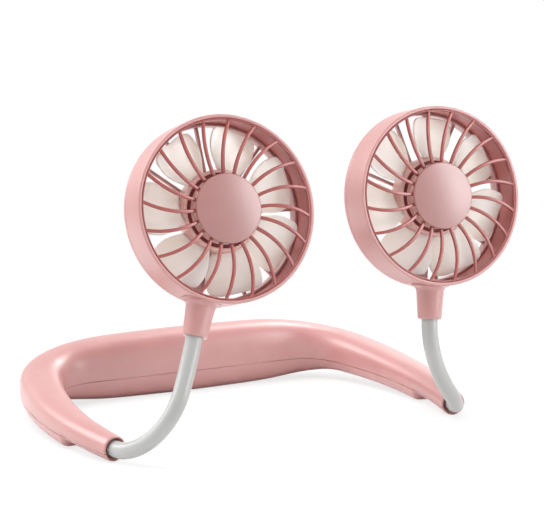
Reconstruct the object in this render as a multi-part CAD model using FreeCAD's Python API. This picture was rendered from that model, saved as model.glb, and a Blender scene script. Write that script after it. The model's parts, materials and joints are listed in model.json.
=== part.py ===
import FreeCAD, Part
import math
import os
from FreeCAD import Placement, Rotation, Vector

# An electric neck fan: a hollow neckband with a fan head on a gooseneck at each end.
# Millimetres. +Z is up, -Y is the open front of the neckband, +X is to the right seen from the front.
# The origin is the middle of the neck opening, level with the axes of the two tips.

# Neckband plan: a straight back, a corner arc and a long side arc on each side.
BACK_HALF_LENGTH = 48.7
BACK_Y = 84.2
CORNER_RADIUS = 28.8
CORNER_TURN = 74.9
SIDE_TURN = 29.2
TIP_Y = -32.0

# Neckband section: share of the half length, half height and half width.
BAND_STATIONS = ((0.0, 15.0, 11.0), (0.2, 14.5, 11.0), (0.45, 9.2, 9.6), (0.75, 5.9, 7.6), (1.0, 5.2, 5.2))
BAND_SHARES = (0.0, 0.1, 0.2, 0.267, 0.32, 0.37, 0.42, 0.473, 0.56, 0.65, 0.75, 0.85, 0.93, 1.0)
CAVITY_SHARES = (0.0, 0.1, 0.2, 0.267, 0.32, 0.37, 0.42, 0.473, 0.56, 0.65, 0.75, 0.83, 0.9)
BACK_LIFT = 2.15
LIFT_END_SHARE = 0.45
SQUARENESS = 2.8
SQUARE_UNTIL_SHARE = 0.45
SECTION_POINTS = 12
BAND_WALL = 1.6
SEAM_GAP = 0.2
SEAM_Z = -1.5
REST_FLAT_DEPTH = 0.35

# Underside pads near the tips, for the power button on the left and the charging socket on the right.
PAD_Y = 4.5
PAD_FLAT = 9.0
PAD_WIDTH = 8.0
PAD_BOTTOM_Z = -7.0
PAD_RAMP = 18.0
PAD_STEP = 1.0
PAD_TOP_Z = -1.7
PAD_EDGE_RADIUS = 1.2

# Gooseneck: silicone sleeve over a wound metal core with two leads inside.
SLEEVE_RADIUS = 3.35
SLEEVE_BORE_RADIUS = 2.45
CORE_RADIUS = 2.35
CORE_BORE_RADIUS = 1.6
LEAD_RADIUS = 0.6
LEAD_SPACING = 1.4
MOUTH_RADIUS = 3.8
MOUTH_DEPTH = 14.0
LEAD_PASSAGE_RADIUS = 1.9
LEAD_PASSAGE_LENGTH = 9.0
SLEEVE_IN_MOUTH = 7.0
FERRULE_GAP = 0.15
LOWER_FERRULE_LENGTH = 5.0
UPPER_FERRULE_LENGTH = 2.6
FERRULE_CLEARANCE = 0.1
CORE_PAST_FERRULE = 1.6
LEADS_PAST_CORE = 2.5

# Fan head: drum with its stem, and a rear cover.
HEAD_RADIUS = 37.5
HEAD_DEPTH = 17.2
HEAD_WALL = 1.5
RIM_ROUND = 0.5
REAR_COVER_DEPTH = 3.0
COVER_GAP = 0.2
COVER_LIP_DEPTH = 2.0
COVER_LIP_WALL = 1.2
COVER_ROUND = 1.4
STEM_END = 51.2
STEM_END_RADIUS = 4.6
STEM_TOP_RADIUS = 5.4
STEM_FLARE = 2.2
STEM_CHAMFER = 0.5
SLEEVE_IN_STEM = 5.0
STEM_BORE_CLEARANCE = 0.15
STEM_CORE_CLEARANCE = 0.25

# Front grille: a ring that sits in the drum's mouth, curved spokes and a hub skirt.
SPOKE_COUNT = 20
SPOKE_WIDTH = 1.4
SPOKE_DEPTH = 1.2
SPOKE_SWEEP = 7.0
SPOKE_SAGITTA = 2.0
GRILLE_RECESS = 0.15
GRILLE_CLEARANCE = 0.1
GRILLE_RING_WALL = 0.6
GRILLE_RING_DEPTH = 2.6
GRILLE_CROWN = 1.3
HUB_RECESS = 0.6
HUB_RADIUS = 13.2
HUB_WALL = 1.6
HUB_SKIRT_DEPTH = 4.4
HUB_GROOVE = 0.4
HUB_GROOVE_WIDTH = 0.8
CAP_RADIUS = 13.9
CAP_EDGE = 1.3
CAP_DOME = 1.1
CAP_GAP = 0.5
CAP_SPIGOT = 2.0
CAP_CLEARANCE = 0.1

# Rear cover spokes, motor cup and lead duct.
REAR_SPOKE_COUNT = 15
REAR_SPOKE_WIDTH = 1.2
REAR_SPOKE_DEPTH = 2.0
CUP_WALL = 1.2
CUP_BACK = 1.2
CUP_FRONT_Y = 1.9
DUCT_WIDTH = 4.8
DUCT_DEPTH = 2.6
DUCT_WALL = 1.0

# Motor.
MOTOR_RADIUS = 10.2
MOTOR_FRONT_Y = 0.0
MOTOR_CLEARANCE = 0.1
CAN_WALL = 0.6
CAN_FRONT = 0.8
BUSH_RADIUS = 3.0
BUSH_HEIGHT = 0.7
SHAFT_RADIUS = 1.0
SHAFT_CLEARANCE = 0.05
SHAFT_FRONT_Y = -2.4
MAGNET_WALL = 1.9
MAGNET_LENGTH = 5.0
ARMATURE_LENGTH = 4.6
AIR_GAP = 0.4
ARMATURE_SLOT = 1.6
ARMATURE_SLOT_DEPTH = 3.0
END_CAP_LENGTH = 1.2
PRESS_CLEARANCE = 0.02

# Impeller.
BLADE_COUNT = 7
IMPELLER_HUB_RADIUS = 16.5
IMPELLER_HUB_WALL = 1.4
IMPELLER_FRONT_Y = -2.8
IMPELLER_REAR_Y = 5.0
IMPELLER_GROOVE_RADIUS = 14.3
IMPELLER_GROOVE_WIDTH = 1.4
IMPELLER_GROOVE_DEPTH = 0.7
IMPELLER_BOSS_RADIUS = 2.6
IMPELLER_BOSS_GAP = 0.25
BLADE_TIP_CLEARANCE = 2.7
BLADE_THICKNESS = 1.1
BLADE_FRONT_Y = -2.4
BLADE_REAR_Y = 4.6
BLADE_ROOT_HALF_WIDTH = 5.4
BLADE_WIDE_HALF_WIDTH = 10.7
BLADE_TIP_HALF_WIDTH = 9.2
BLADE_SHOULDER = 6.5

# Battery, boards and screws inside the neckband.
CELL_RADIUS = 9.1
CELL_LENGTH = 65.0
CELL_Z = -1.9
CELL_CAP_RADIUS = 3.0
CELL_CAP_HEIGHT = 0.8
BOARD_HALF_LENGTH = 40.0
BOARD_HALF_WIDTH = 6.5
CHIP_LENGTH = 8.0
CHIP_WIDTH = 6.0
CHIP_HEIGHT = 1.4
COIL_RADIUS = 3.5
COIL_X = 14.0
COIL_HEIGHT = 3.2
BOARD_THICKNESS = 1.2
BOARD_Z = 9.0
POST_RADIUS = 2.5
POST_X = 42.5
POST_OFFSET = 4.0
BOARD_POST_X = 26.0
SCREW_HEAD_RADIUS = 1.9
SCREW_HEAD_HEIGHT = 1.4
SCREW_RADIUS = 0.95
SCREW_CLEARANCE = 0.1
SCREW_HOLE_CLEARANCE = 0.25
SCREW_RECESS = 3.0
SCREW_BITE = 6.0
BOARD_SCREW_BITE = 4.0

# Power button and its switch.
BUTTON_RADIUS = 3.0
BUTTON_CLEARANCE = 0.2
BUTTON_RECESS = 0.3
BUTTON_FLANGE = 1.0
BUTTON_FLANGE_HEIGHT = 0.8
BUTTON_SEAT_Z = -3.4
BUTTON_SEAT_GAP = 0.05
BUTTON_TRAVEL = 0.8
BUTTON_ROUND = 0.4
SWITCH_SIZE = 6.0
SWITCH_HEIGHT = 3.0
SWITCH_GAP = 0.7
PLUNGER_RADIUS = 1.6
PLUNGER_DEPTH = 0.9
PLUNGER_CLEARANCE = 0.1
SMALL_BOARD_THICKNESS = 1.0
SMALL_BOARD_WIDTH = 8.0
SWITCH_BOARD_REAR = 13.0
SMALL_BOARD_FRONT = 5.5
SMALL_POST_RADIUS = 1.1
LIGHT_PIPE_RADIUS = 1.2
LIGHT_PIPE_CLEARANCE = 0.1
LIGHT_PIPE_BACK = 9.5

# Charging socket.
SOCKET_LENGTH = 8.9
SOCKET_WIDTH = 3.2
SOCKET_HEIGHT = 6.2
SOCKET_WALL = 0.35
SOCKET_CLEARANCE = 0.25
SOCKET_RECESS = 0.3
TONGUE_LENGTH = 6.6
TONGUE_WIDTH = 0.7
TONGUE_HEIGHT = 4.6
SOCKET_BOARD_REAR = 7.0

# Rest pose of each head: middle of the front rim, and how it is turned.
HEADS = {
    "left": {"front": Vector(-31.1, -38.7, 93.6), "yaw": 0.4, "pitch": 16.0, "roll": 19.5, "side": -1, "reach": 31.0},
    "right": {"front": Vector(66.7, -37.4, 91.9), "yaw": 0.4, "pitch": 12.0, "roll": 7.2, "side": 1, "reach": 12.0},
}

X_AXIS = Vector(1, 0, 0)
Y_AXIS = Vector(0, 1, 0)
Z_AXIS = Vector(0, 0, 1)
BIG = 400.0

# Largest share of an edge that the rounds of its two corners may take.
ROUND_LIMIT = 0.99

# Lengths along the half centreline of the neckband.
CORNER_TURN_RAD = math.radians(CORNER_TURN)
SIDE_END_RAD = math.radians(CORNER_TURN + SIDE_TURN)
CORNER_END_X = BACK_HALF_LENGTH + CORNER_RADIUS * math.sin(CORNER_TURN_RAD)
CORNER_END_Y = BACK_Y - CORNER_RADIUS * (1 - math.cos(CORNER_TURN_RAD))
SIDE_RADIUS = (CORNER_END_Y - TIP_Y) / (math.cos(CORNER_TURN_RAD) - math.cos(SIDE_END_RAD))
CORNER_LENGTH = CORNER_RADIUS * CORNER_TURN_RAD
SIDE_LENGTH = SIDE_RADIUS * math.radians(SIDE_TURN)
HALF_LENGTH = BACK_HALF_LENGTH + CORNER_LENGTH + SIDE_LENGTH

# Places along a head's axis, in its own frame: front at -Y, stem along -Z, middle of the drum at the origin.
HEAD_FRONT_Y = -HEAD_DEPTH / 2
HEAD_REAR_Y = HEAD_DEPTH / 2
COVER_FRONT_Y = HEAD_REAR_Y - REAR_COVER_DEPTH
DRUM_REAR_Y = COVER_FRONT_Y - COVER_GAP
HEAD_BORE_RADIUS = HEAD_RADIUS - HEAD_WALL
GRILLE_EDGE_Y = HEAD_FRONT_Y + GRILLE_RECESS
GRILLE_HUB_Y = HEAD_FRONT_Y + HUB_RECESS
CUP_RADIUS = MOTOR_RADIUS + MOTOR_CLEARANCE + CUP_WALL
CUP_FLOOR_Y = HEAD_REAR_Y - CUP_BACK
MOTOR_REAR_Y = CUP_FLOOR_Y - MOTOR_CLEARANCE
CAN_BORE_RADIUS = MOTOR_RADIUS - CAN_WALL
BUSH_FRONT_Y = MOTOR_FRONT_Y - BUSH_HEIGHT
END_CAP_FRONT_Y = MOTOR_REAR_Y - END_CAP_LENGTH
ROTOR_MIDDLE_Y = (MOTOR_FRONT_Y + CAN_FRONT + END_CAP_FRONT_Y) / 2
MAGNET_BORE_RADIUS = CAN_BORE_RADIUS - PRESS_CLEARANCE - MAGNET_WALL
BLADE_TIP_RADIUS = HEAD_BORE_RADIUS - BLADE_TIP_CLEARANCE
BLADE_WIDE_RADIUS = BLADE_TIP_RADIUS - BLADE_SHOULDER
BLADE_CORNER_ROUND = BLADE_SHOULDER * 0.7
GRILLE_RADIUS = HEAD_BORE_RADIUS - GRILLE_CLEARANCE


def box(low, high):
    """Box between two corners."""
    return Part.makeBox(high.x - low.x, high.y - low.y, high.z - low.z, low)


def cylinder_y(radius, start, end, inner=0.0):
    """Cylinder or tube about the Y axis."""
    solid = Part.makeCylinder(radius, end - start, Vector(0, start, 0), Y_AXIS)
    if inner > 0:
        solid = solid.cut(Part.makeCylinder(inner, end - start, Vector(0, start, 0), Y_AXIS))
    return solid


def cylinder_z(radius, centre, low, high):
    """Upright cylinder over a point of the plan."""
    return Part.makeCylinder(radius, high - low, Vector(centre.x, centre.y, low), Z_AXIS)


def rounded_polygon(points, radii):
    """Closed wire through the points, each corner rounded by its radius, or by less where its edges are short."""
    count = len(points)
    halves = []
    for i, corner in enumerate(points):
        halves.append((points[i - 1] - corner).getAngle(points[(i + 1) % count] - corner) / 2)
    reaches = [radius / math.tan(half) for radius, half in zip(radii, halves)]
    shares = []
    for i in range(count):
        length = (points[i] - points[i - 1]).Length
        shares.append(min(1, ROUND_LIMIT * length / max(reaches[i] + reaches[i - 1], 1e-6)))
    ends = []
    edges = []
    for i, corner in enumerate(points):
        before = (points[i - 1] - corner).normalize()
        after = (points[(i + 1) % count] - corner).normalize()
        share = min(shares[i], shares[(i + 1) % count])
        start = corner + before * reaches[i] * share
        end = corner + after * reaches[i] * share
        ends.append((start, end))
        if radii[i] > 0:
            middle = (before + after).normalize()
            top = corner + middle * (radii[i] * share * (1 / math.sin(halves[i]) - 1))
            edges.append(Part.Arc(start, top, end).toShape())
    for i in range(count):
        start = ends[i][1]
        end = ends[(i + 1) % count][0]
        edges.append(Part.LineSegment(start, end).toShape())
    return Part.Wire(Part.__sortEdges__(edges))


def revolved(points, axis):
    """Solid of revolution of a closed outline of straight lines and, where a triple is given, arcs."""
    edges = []
    for i, item in enumerate(points):
        here = item[-1] if isinstance(item, tuple) else item
        nxt = points[(i + 1) % len(points)]
        if isinstance(nxt, tuple):
            edges.append(Part.Arc(here, nxt[0], nxt[1]).toShape())
        else:
            edges.append(Part.LineSegment(here, nxt).toShape())
    return Part.Face(Part.Wire(edges)).revolve(Vector(0, 0, 0), axis, 360)


def around(shape, count, axis):
    """Copies of a shape spaced evenly round an axis through the origin."""
    copies = []
    for i in range(count):
        copy = shape.copy()
        copy.rotate(Vector(0, 0, 0), axis, 360.0 * i / count)
        copies.append(copy)
    return copies


# Neckband shape

def band_place(share):
    """Centre and heading angle of the neckband at a signed share of its half length."""
    length = abs(share) * HALF_LENGTH
    side = -1 if share < 0 else 1
    if length <= BACK_HALF_LENGTH:
        x, y, turn = length, BACK_Y, 0.0
    elif length <= BACK_HALF_LENGTH + CORNER_LENGTH:
        turn = (length - BACK_HALF_LENGTH) / CORNER_RADIUS
        x = BACK_HALF_LENGTH + CORNER_RADIUS * math.sin(turn)
        y = BACK_Y - CORNER_RADIUS * (1 - math.cos(turn))
    else:
        turn = CORNER_TURN_RAD + (length - BACK_HALF_LENGTH - CORNER_LENGTH) / SIDE_RADIUS
        x = CORNER_END_X + SIDE_RADIUS * (math.sin(turn) - math.sin(CORNER_TURN_RAD))
        y = CORNER_END_Y - SIDE_RADIUS * (math.cos(CORNER_TURN_RAD) - math.cos(turn))
    past = max(0.0, (abs(share) - LIFT_END_SHARE) / (1 - LIFT_END_SHARE))
    return Vector(side * x, y, BACK_LIFT * (1 - past * past)), side * turn


def station_slope(index, column):
    """Slope of a section size at a station: level in the middle of the back, straight into the tip."""
    if index == 0:
        return 0.0
    before, here = BAND_STATIONS[index - 1:index + 1]
    fall_in = (here[column] - before[column]) / (here[0] - before[0])
    if index == len(BAND_STATIONS) - 1:
        return fall_in
    after = BAND_STATIONS[index + 1]
    fall_out = (after[column] - here[column]) / (after[0] - here[0])
    if fall_in * fall_out <= 0:
        return 0.0
    return 2 * fall_in * fall_out / (fall_in + fall_out)


def section_size(share, column):
    """Half height (1) or half width (2) of the neckband, eased between the stations."""
    share = abs(share)
    index = max(i for i, station in enumerate(BAND_STATIONS[:-1]) if station[0] <= share)
    low, high = BAND_STATIONS[index], BAND_STATIONS[index + 1]
    span = high[0] - low[0]
    t = (share - low[0]) / span
    rise = high[column] - low[column]
    start = station_slope(index, column) * span
    end = station_slope(index + 1, column) * span
    return low[column] + t * (start + t * (3 * rise - 2 * start - end + t * (start + end - 2 * rise)))


def band_section(share, inset):
    """Closed outline of the neckband across its centreline, drawn in by the inset."""
    centre, turn = band_place(share)
    half_height = section_size(share, 1) - inset
    half_width = section_size(share, 2) - inset
    past = max(0.0, (abs(share) - SQUARE_UNTIL_SHARE) / (1 - SQUARE_UNTIL_SHARE))
    power = SQUARENESS + (2.0 - SQUARENESS) * past
    outward = Vector(math.sin(turn), math.cos(turn), 0)
    points = []
    for i in range(SECTION_POINTS):
        angle = 2 * math.pi * (i + 0.5) / SECTION_POINTS
        c, s = math.cos(angle), math.sin(angle)
        reach = (abs(c) ** power + abs(s) ** power) ** (-1 / power)
        points.append(centre + outward * (half_width * reach * c) + Z_AXIS * (half_height * reach * s))
    curve = Part.BSplineCurve()
    knots = [i / SECTION_POINTS for i in range(SECTION_POINTS + 1)]
    curve.interpolate(Points=points, PeriodicFlag=True, Parameters=knots)
    return Part.Wire(curve.toShape())


def band_loft(shares, inset):
    """Solid through the sections from the left end, round the back, to the right end."""
    signed = [-share for share in reversed(shares[1:])] + list(shares)
    return Part.makeLoft([band_section(share, inset) for share in signed], True, False)


def tip_place(side):
    """Centre of a tip's end face and the direction in which it points."""
    centre, turn = band_place(side)
    return centre, Vector(side * math.cos(turn), -side * math.sin(turn), 0)


def pad_place(side):
    """Centre of an underside pad on the plan."""
    low, high = BACK_HALF_LENGTH / HALF_LENGTH, 1.0
    for _ in range(40):
        middle = (low + high) / 2
        if band_place(side * middle)[0].y > PAD_Y:
            low = middle
        else:
            high = middle
    centre = band_place(side * low)[0]
    return Vector(centre.x, centre.y, 0)


def pad_solid(side):
    """Raised pad: a long ramp at its rear and a short step towards the tip."""
    place = pad_place(side)
    left = place.x - PAD_WIDTH / 2
    front = place.y - PAD_FLAT / 2
    rear = place.y + PAD_FLAT / 2
    outline = [
        Vector(left, front - PAD_STEP, PAD_TOP_Z),
        Vector(left, front, PAD_BOTTOM_Z),
        Vector(left, rear, PAD_BOTTOM_Z),
        Vector(left, rear + PAD_RAMP, PAD_TOP_Z),
    ]
    face = Part.Face(rounded_polygon(outline, [0, PAD_EDGE_RADIUS, PAD_EDGE_RADIUS * 4, 0]))
    pad = face.extrude(X_AXIS * PAD_WIDTH)
    sharp = []
    for edge in pad.Edges:
        if edge.BoundBox.XLength < 1e-6 and edge.BoundBox.ZMin < PAD_TOP_Z - 1e-6:
            sharp.append(edge)
    return pad.makeFillet(PAD_EDGE_RADIUS, sharp)


def stadium(centre, length, width, low, high):
    """Upright prism with round ends, long along Y."""
    radius = width / 2
    half = length / 2
    corners = [
        Vector(centre.x - radius, centre.y - half, low),
        Vector(centre.x + radius, centre.y - half, low),
        Vector(centre.x + radius, centre.y + half, low),
        Vector(centre.x - radius, centre.y + half, low),
    ]
    return Part.Face(rounded_polygon(corners, [radius * 0.98] * 4)).extrude(Z_AXIS * (high - low))


# Heights of the small boards in the arms, from the button and the socket up.
BUTTON_TOP_Z = BUTTON_SEAT_Z + BUTTON_SEAT_GAP + BUTTON_FLANGE_HEIGHT
SWITCH_LOW_Z = BUTTON_TOP_Z + BUTTON_TRAVEL + SWITCH_GAP
SWITCH_BOARD_Z = SWITCH_LOW_Z + SWITCH_HEIGHT
SOCKET_LOW_Z = PAD_BOTTOM_Z + SOCKET_RECESS
SOCKET_BOARD_Z = SOCKET_LOW_Z + SOCKET_HEIGHT

# Neckband back: screw posts and their heights.
SEAM_TOP_Z = SEAM_Z + SEAM_GAP / 2
SEAM_LOW_Z = SEAM_Z - SEAM_GAP / 2
POST_Y = BACK_Y + POST_OFFSET
BAND_TOP_Z = BACK_LIFT + BAND_STATIONS[0][1]
BAND_BOTTOM_Z = BACK_LIFT - BAND_STATIONS[0][1] + REST_FLAT_DEPTH


def screw_seat_z():
    """Height on which the heads of the shell screws bear."""
    return BAND_BOTTOM_Z + SCREW_RECESS


def post_places():
    """Plan positions of the shell screws."""
    return [Vector(side * POST_X, POST_Y, 0) for side in (-1, 1)]


def board_post_places():
    """Plan positions of the screws that hold the control board."""
    return [Vector(side * BOARD_POST_X, BACK_Y, 0) for side in (-1, 1)]


def small_board_posts(side, board_rear):
    """Plan positions of the two posts that carry a small board in an arm."""
    place = pad_place(side)
    front = place.y - SMALL_BOARD_FRONT + SMALL_POST_RADIUS
    rear = place.y + board_rear - SMALL_POST_RADIUS
    return [Vector(place.x, y, 0) for y in (front, rear)]


def neckband_shells():
    """Upper and lower shell, with posts, mouths, pads and openings."""
    outer = band_loft(BAND_SHARES, 0.0)
    cavity = band_loft(CAVITY_SHARES, BAND_WALL)
    above = box(Vector(-BIG, -BIG, SEAM_TOP_Z), Vector(BIG, BIG, BIG))
    below = box(Vector(-BIG, -BIG, -BIG), Vector(BIG, BIG, SEAM_LOW_Z))

    upper = outer.common(above).cut(cavity)
    lower = outer.common(below)
    lower = lower.fuse([pad_solid(-1).common(below), pad_solid(1).common(below)]).cut(cavity)
    lower = lower.cut(box(Vector(-BIG, -BIG, -BIG), Vector(BIG, BIG, BAND_BOTTOM_Z)))

    upper_posts = [cylinder_z(POST_RADIUS, p, SEAM_TOP_Z, BIG) for p in post_places()]
    board_top = BOARD_Z + BOARD_THICKNESS
    upper_posts += [cylinder_z(POST_RADIUS, p, board_top, BIG) for p in board_post_places()]
    for side, rear, height in ((-1, SWITCH_BOARD_REAR, SWITCH_BOARD_Z), (1, SOCKET_BOARD_REAR, SOCKET_BOARD_Z)):
        top = max(height + SMALL_BOARD_THICKNESS, SEAM_TOP_Z)
        upper_posts += [cylinder_z(SMALL_POST_RADIUS, p, top, BIG) for p in small_board_posts(side, rear)]
    upper = upper.fuse([post.common(outer) for post in upper_posts])
    lower_posts = [cylinder_z(POST_RADIUS, p, BAND_BOTTOM_Z, SEAM_LOW_Z) for p in post_places()]
    lower = lower.fuse([post.common(outer) for post in lower_posts])

    for place in post_places():
        lower = lower.cut(cylinder_z(SCREW_RADIUS + SCREW_HOLE_CLEARANCE, place, -BIG, 0))
        lower = lower.cut(cylinder_z(SCREW_HEAD_RADIUS + SCREW_HOLE_CLEARANCE, place, -BIG, screw_seat_z()))
        upper = upper.cut(cylinder_z(SCREW_RADIUS + PRESS_CLEARANCE, place, SEAM_Z, SCREW_BITE + SCREW_CLEARANCE))
    for place in board_post_places():
        bite_end = board_top + BOARD_SCREW_BITE + SCREW_CLEARANCE
        upper = upper.cut(cylinder_z(SCREW_RADIUS + PRESS_CLEARANCE, place, board_top, bite_end))

    for side in (-1, 1):
        tip, forward = tip_place(side)
        start = tip - forward * MOUTH_DEPTH
        mouth = Part.makeCylinder(MOUTH_RADIUS, MOUTH_DEPTH * 2, start, forward)
        passage = Part.makeCylinder(LEAD_PASSAGE_RADIUS, LEAD_PASSAGE_LENGTH, start, -forward)
        upper = upper.cut([mouth, passage])
        lower = lower.cut([mouth, passage])

    button = pad_place(-1)
    lower = lower.cut(cylinder_z(BUTTON_RADIUS + BUTTON_CLEARANCE, button, -BIG, 0))
    seat_radius = BUTTON_RADIUS + BUTTON_FLANGE + BUTTON_CLEARANCE
    lower = lower.cut(cylinder_z(seat_radius, button, BUTTON_SEAT_Z, 0))
    light = button + Y_AXIS * LIGHT_PIPE_BACK
    lower = lower.cut(cylinder_z(LIGHT_PIPE_RADIUS + LIGHT_PIPE_CLEARANCE, light, -BIG, 0))
    socket_hole = stadium(
        pad_place(1),
        SOCKET_LENGTH + 2 * SOCKET_CLEARANCE,
        SOCKET_WIDTH + 2 * SOCKET_CLEARANCE,
        -BIG,
        0,
    )
    lower = lower.cut(socket_hole)
    return upper, lower


# Parts inside the neckband

def battery_cell():
    """Round lithium cell lying along the back, with its raised end contact."""
    start = Vector(-CELL_LENGTH / 2, BACK_Y, CELL_Z)
    body = Part.makeCylinder(CELL_RADIUS, CELL_LENGTH - CELL_CAP_HEIGHT, start, X_AXIS)
    rims = [edge for edge in body.Edges if edge.Curve.TypeId == "Part::GeomCircle"]
    body = body.makeFillet(CELL_CAP_HEIGHT / 2, rims)
    contact = Vector(CELL_LENGTH / 2 - CELL_CAP_HEIGHT, BACK_Y, CELL_Z)
    return body.fuse(Part.makeCylinder(CELL_CAP_RADIUS, CELL_CAP_HEIGHT, contact, X_AXIS))


def control_board():
    """Circuit board over the cell, with its charge controller and coil."""
    low = Vector(-BOARD_HALF_LENGTH, BACK_Y - BOARD_HALF_WIDTH, BOARD_Z)
    high = Vector(BOARD_HALF_LENGTH, BACK_Y + BOARD_HALF_WIDTH, BOARD_Z + BOARD_THICKNESS)
    board = box(low, high)
    top = BOARD_Z + BOARD_THICKNESS
    chip_half = Vector(CHIP_LENGTH / 2, CHIP_WIDTH / 2, 0)
    chip_low = Vector(0, BACK_Y, top) - chip_half
    chip_high = Vector(0, BACK_Y, top + CHIP_HEIGHT) + chip_half
    chip = box(chip_low, chip_high)
    coil = cylinder_z(COIL_RADIUS, Vector(COIL_X, BACK_Y, 0), top, top + COIL_HEIGHT)
    board = board.fuse([chip, coil])
    for place in board_post_places():
        board = board.cut(cylinder_z(SCREW_RADIUS + SCREW_HOLE_CLEARANCE, place, -BIG, top))
    return board


def screw(place, seat, end, head_down):
    """Pan-head screw standing upright, its head under the seat."""
    shank = cylinder_z(SCREW_RADIUS, place, seat, end)
    head = cylinder_z(SCREW_HEAD_RADIUS, place, seat - head_down, seat)
    return shank.fuse(head)


def shell_screws():
    """The two screws that draw the shells together."""
    gap = PRESS_CLEARANCE
    screws = [screw(p, screw_seat_z() - gap, SCREW_BITE, SCREW_HEAD_HEIGHT) for p in post_places()]
    return Part.makeCompound(screws)


def board_screws():
    """The two screws that hold the control board to the upper shell."""
    end = BOARD_Z + BOARD_THICKNESS + BOARD_SCREW_BITE
    seat = BOARD_Z - PRESS_CLEARANCE
    return Part.makeCompound([screw(p, seat, end, SCREW_HEAD_HEIGHT) for p in board_post_places()])


def power_button():
    """Push button with a rounded rim and a retaining flange."""
    place = pad_place(-1)
    low = PAD_BOTTOM_Z + BUTTON_RECESS
    flange_low = BUTTON_SEAT_Z + BUTTON_SEAT_GAP
    cap = cylinder_z(BUTTON_RADIUS, place, low, flange_low)
    rim = [edge for edge in cap.Edges if edge.BoundBox.ZMax < low + 1e-6]
    cap = cap.makeFillet(BUTTON_ROUND, rim)
    return cap.fuse(cylinder_z(BUTTON_RADIUS + BUTTON_FLANGE, place, flange_low, BUTTON_TOP_Z))


def switch_plunger():
    """Plunger between the button and the switch."""
    return cylinder_z(PLUNGER_RADIUS, pad_place(-1), BUTTON_TOP_Z, SWITCH_LOW_Z + PLUNGER_DEPTH)


def tact_switch():
    """Square switch body, open below for its plunger."""
    place = pad_place(-1)
    half = Vector(SWITCH_SIZE / 2, SWITCH_SIZE / 2, 0)
    body = box(place - half + Z_AXIS * SWITCH_LOW_Z, place + half + Z_AXIS * SWITCH_BOARD_Z)
    depth = PLUNGER_DEPTH + BUTTON_TRAVEL + PLUNGER_CLEARANCE
    hole = cylinder_z(PLUNGER_RADIUS + PLUNGER_CLEARANCE, place, SWITCH_LOW_Z, SWITCH_LOW_Z + depth)
    return body.cut(hole)


def small_board(side, rear, height):
    """Small circuit board across an arm."""
    place = pad_place(side)
    low = Vector(place.x - SMALL_BOARD_WIDTH / 2, place.y - SMALL_BOARD_FRONT, height)
    high = Vector(place.x + SMALL_BOARD_WIDTH / 2, place.y + rear, height + SMALL_BOARD_THICKNESS)
    return box(low, high)


def light_pipe():
    """Clear light pipe from the switch board to the pad's ramp."""
    place = pad_place(-1) + Y_AXIS * LIGHT_PIPE_BACK
    ramp_share = (LIGHT_PIPE_BACK - PAD_FLAT / 2) / PAD_RAMP
    low = PAD_BOTTOM_Z + (PAD_TOP_Z - PAD_BOTTOM_Z) * ramp_share
    return cylinder_z(LIGHT_PIPE_RADIUS, place, low, SWITCH_BOARD_Z)


def charge_socket():
    """Metal socket shell, open below, with its contact tongue."""
    place = pad_place(1)
    shell = stadium(place, SOCKET_LENGTH, SOCKET_WIDTH, SOCKET_LOW_Z, SOCKET_BOARD_Z)
    wall = 2 * SOCKET_WALL
    roof = SOCKET_BOARD_Z - SOCKET_WALL
    hollow = stadium(place, SOCKET_LENGTH - wall, SOCKET_WIDTH - wall, SOCKET_LOW_Z, roof)
    half = Vector(TONGUE_WIDTH / 2, TONGUE_LENGTH / 2, 0)
    tongue = box(place - half + Z_AXIS * (roof - TONGUE_HEIGHT), place + half + Z_AXIS * roof)
    return shell.cut(hollow).fuse(tongue)


# Goosenecks

def head_placement(head):
    """Place of a head's own frame."""
    turn = Rotation(Z_AXIS, head["yaw"])
    turn = turn.multiply(Rotation(X_AXIS, -head["pitch"]))
    turn = turn.multiply(Rotation(Y_AXIS, head["roll"]))
    middle = head["front"] + turn.multVec(Y_AXIS) * (HEAD_DEPTH / 2)
    return Placement(middle, turn)


def arc_to(start, heading, end):
    """Arc that leaves start along heading and reaches end: its centre, axis, angle and last heading."""
    chord = end - start
    half = heading.getAngle(chord)
    axis = heading.cross(chord).normalize()
    radius = chord.Length / (2 * math.sin(half))
    centre = start + axis.cross(heading).normalize() * radius
    angle = math.degrees(2 * half)
    return centre, axis, angle, Rotation(axis, angle).multVec(heading)


def gooseneck_route(head):
    """Points and headings of a gooseneck: tip, middle and stem, two arcs that meet smoothly."""
    placement = head_placement(head)
    start, leave = tip_place(head["side"])
    end = placement.multVec(Vector(0, 0, -STEM_END))
    arrive = placement.Rotation.multVec(Z_AXIS)
    reach = head["reach"]
    rest = end - start - leave * reach
    far = (rest.dot(rest) - reach * reach) / (2 * rest.dot(arrive) + 2 * reach)
    first = start + leave * reach
    last = end - arrive * far
    middle = first + (last - first) * (reach / (reach + far))
    return start, leave, middle, end, arrive


def swept(face, start, head, before, after):
    """A face carried along a gooseneck, from a depth in the neckband to a depth in the stem."""
    tip, leave, middle, end, arrive = gooseneck_route(head)
    face = face.copy()
    face.Placement = Placement(start, Rotation(Z_AXIS, leave)).multiply(face.Placement)
    pieces = [face.extrude(leave * before)]
    face.translate(leave * before)
    point, heading = tip, leave
    for target in (middle, end):
        centre, axis, angle, heading_after = arc_to(point, heading, target)
        pieces.append(face.revolve(centre, axis, angle))
        face.rotate(centre, axis, angle)
        point, heading = target, heading_after
    pieces.append(face.extrude(arrive * after))
    joined = pieces[0].fuse(pieces[1:])
    return joined.removeSplitter()


def ring_face(outer, inner):
    """Flat ring about the origin, facing +Z."""
    return Part.Face([Part.Wire(Part.makeCircle(r)) for r in (outer, inner)])


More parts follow.
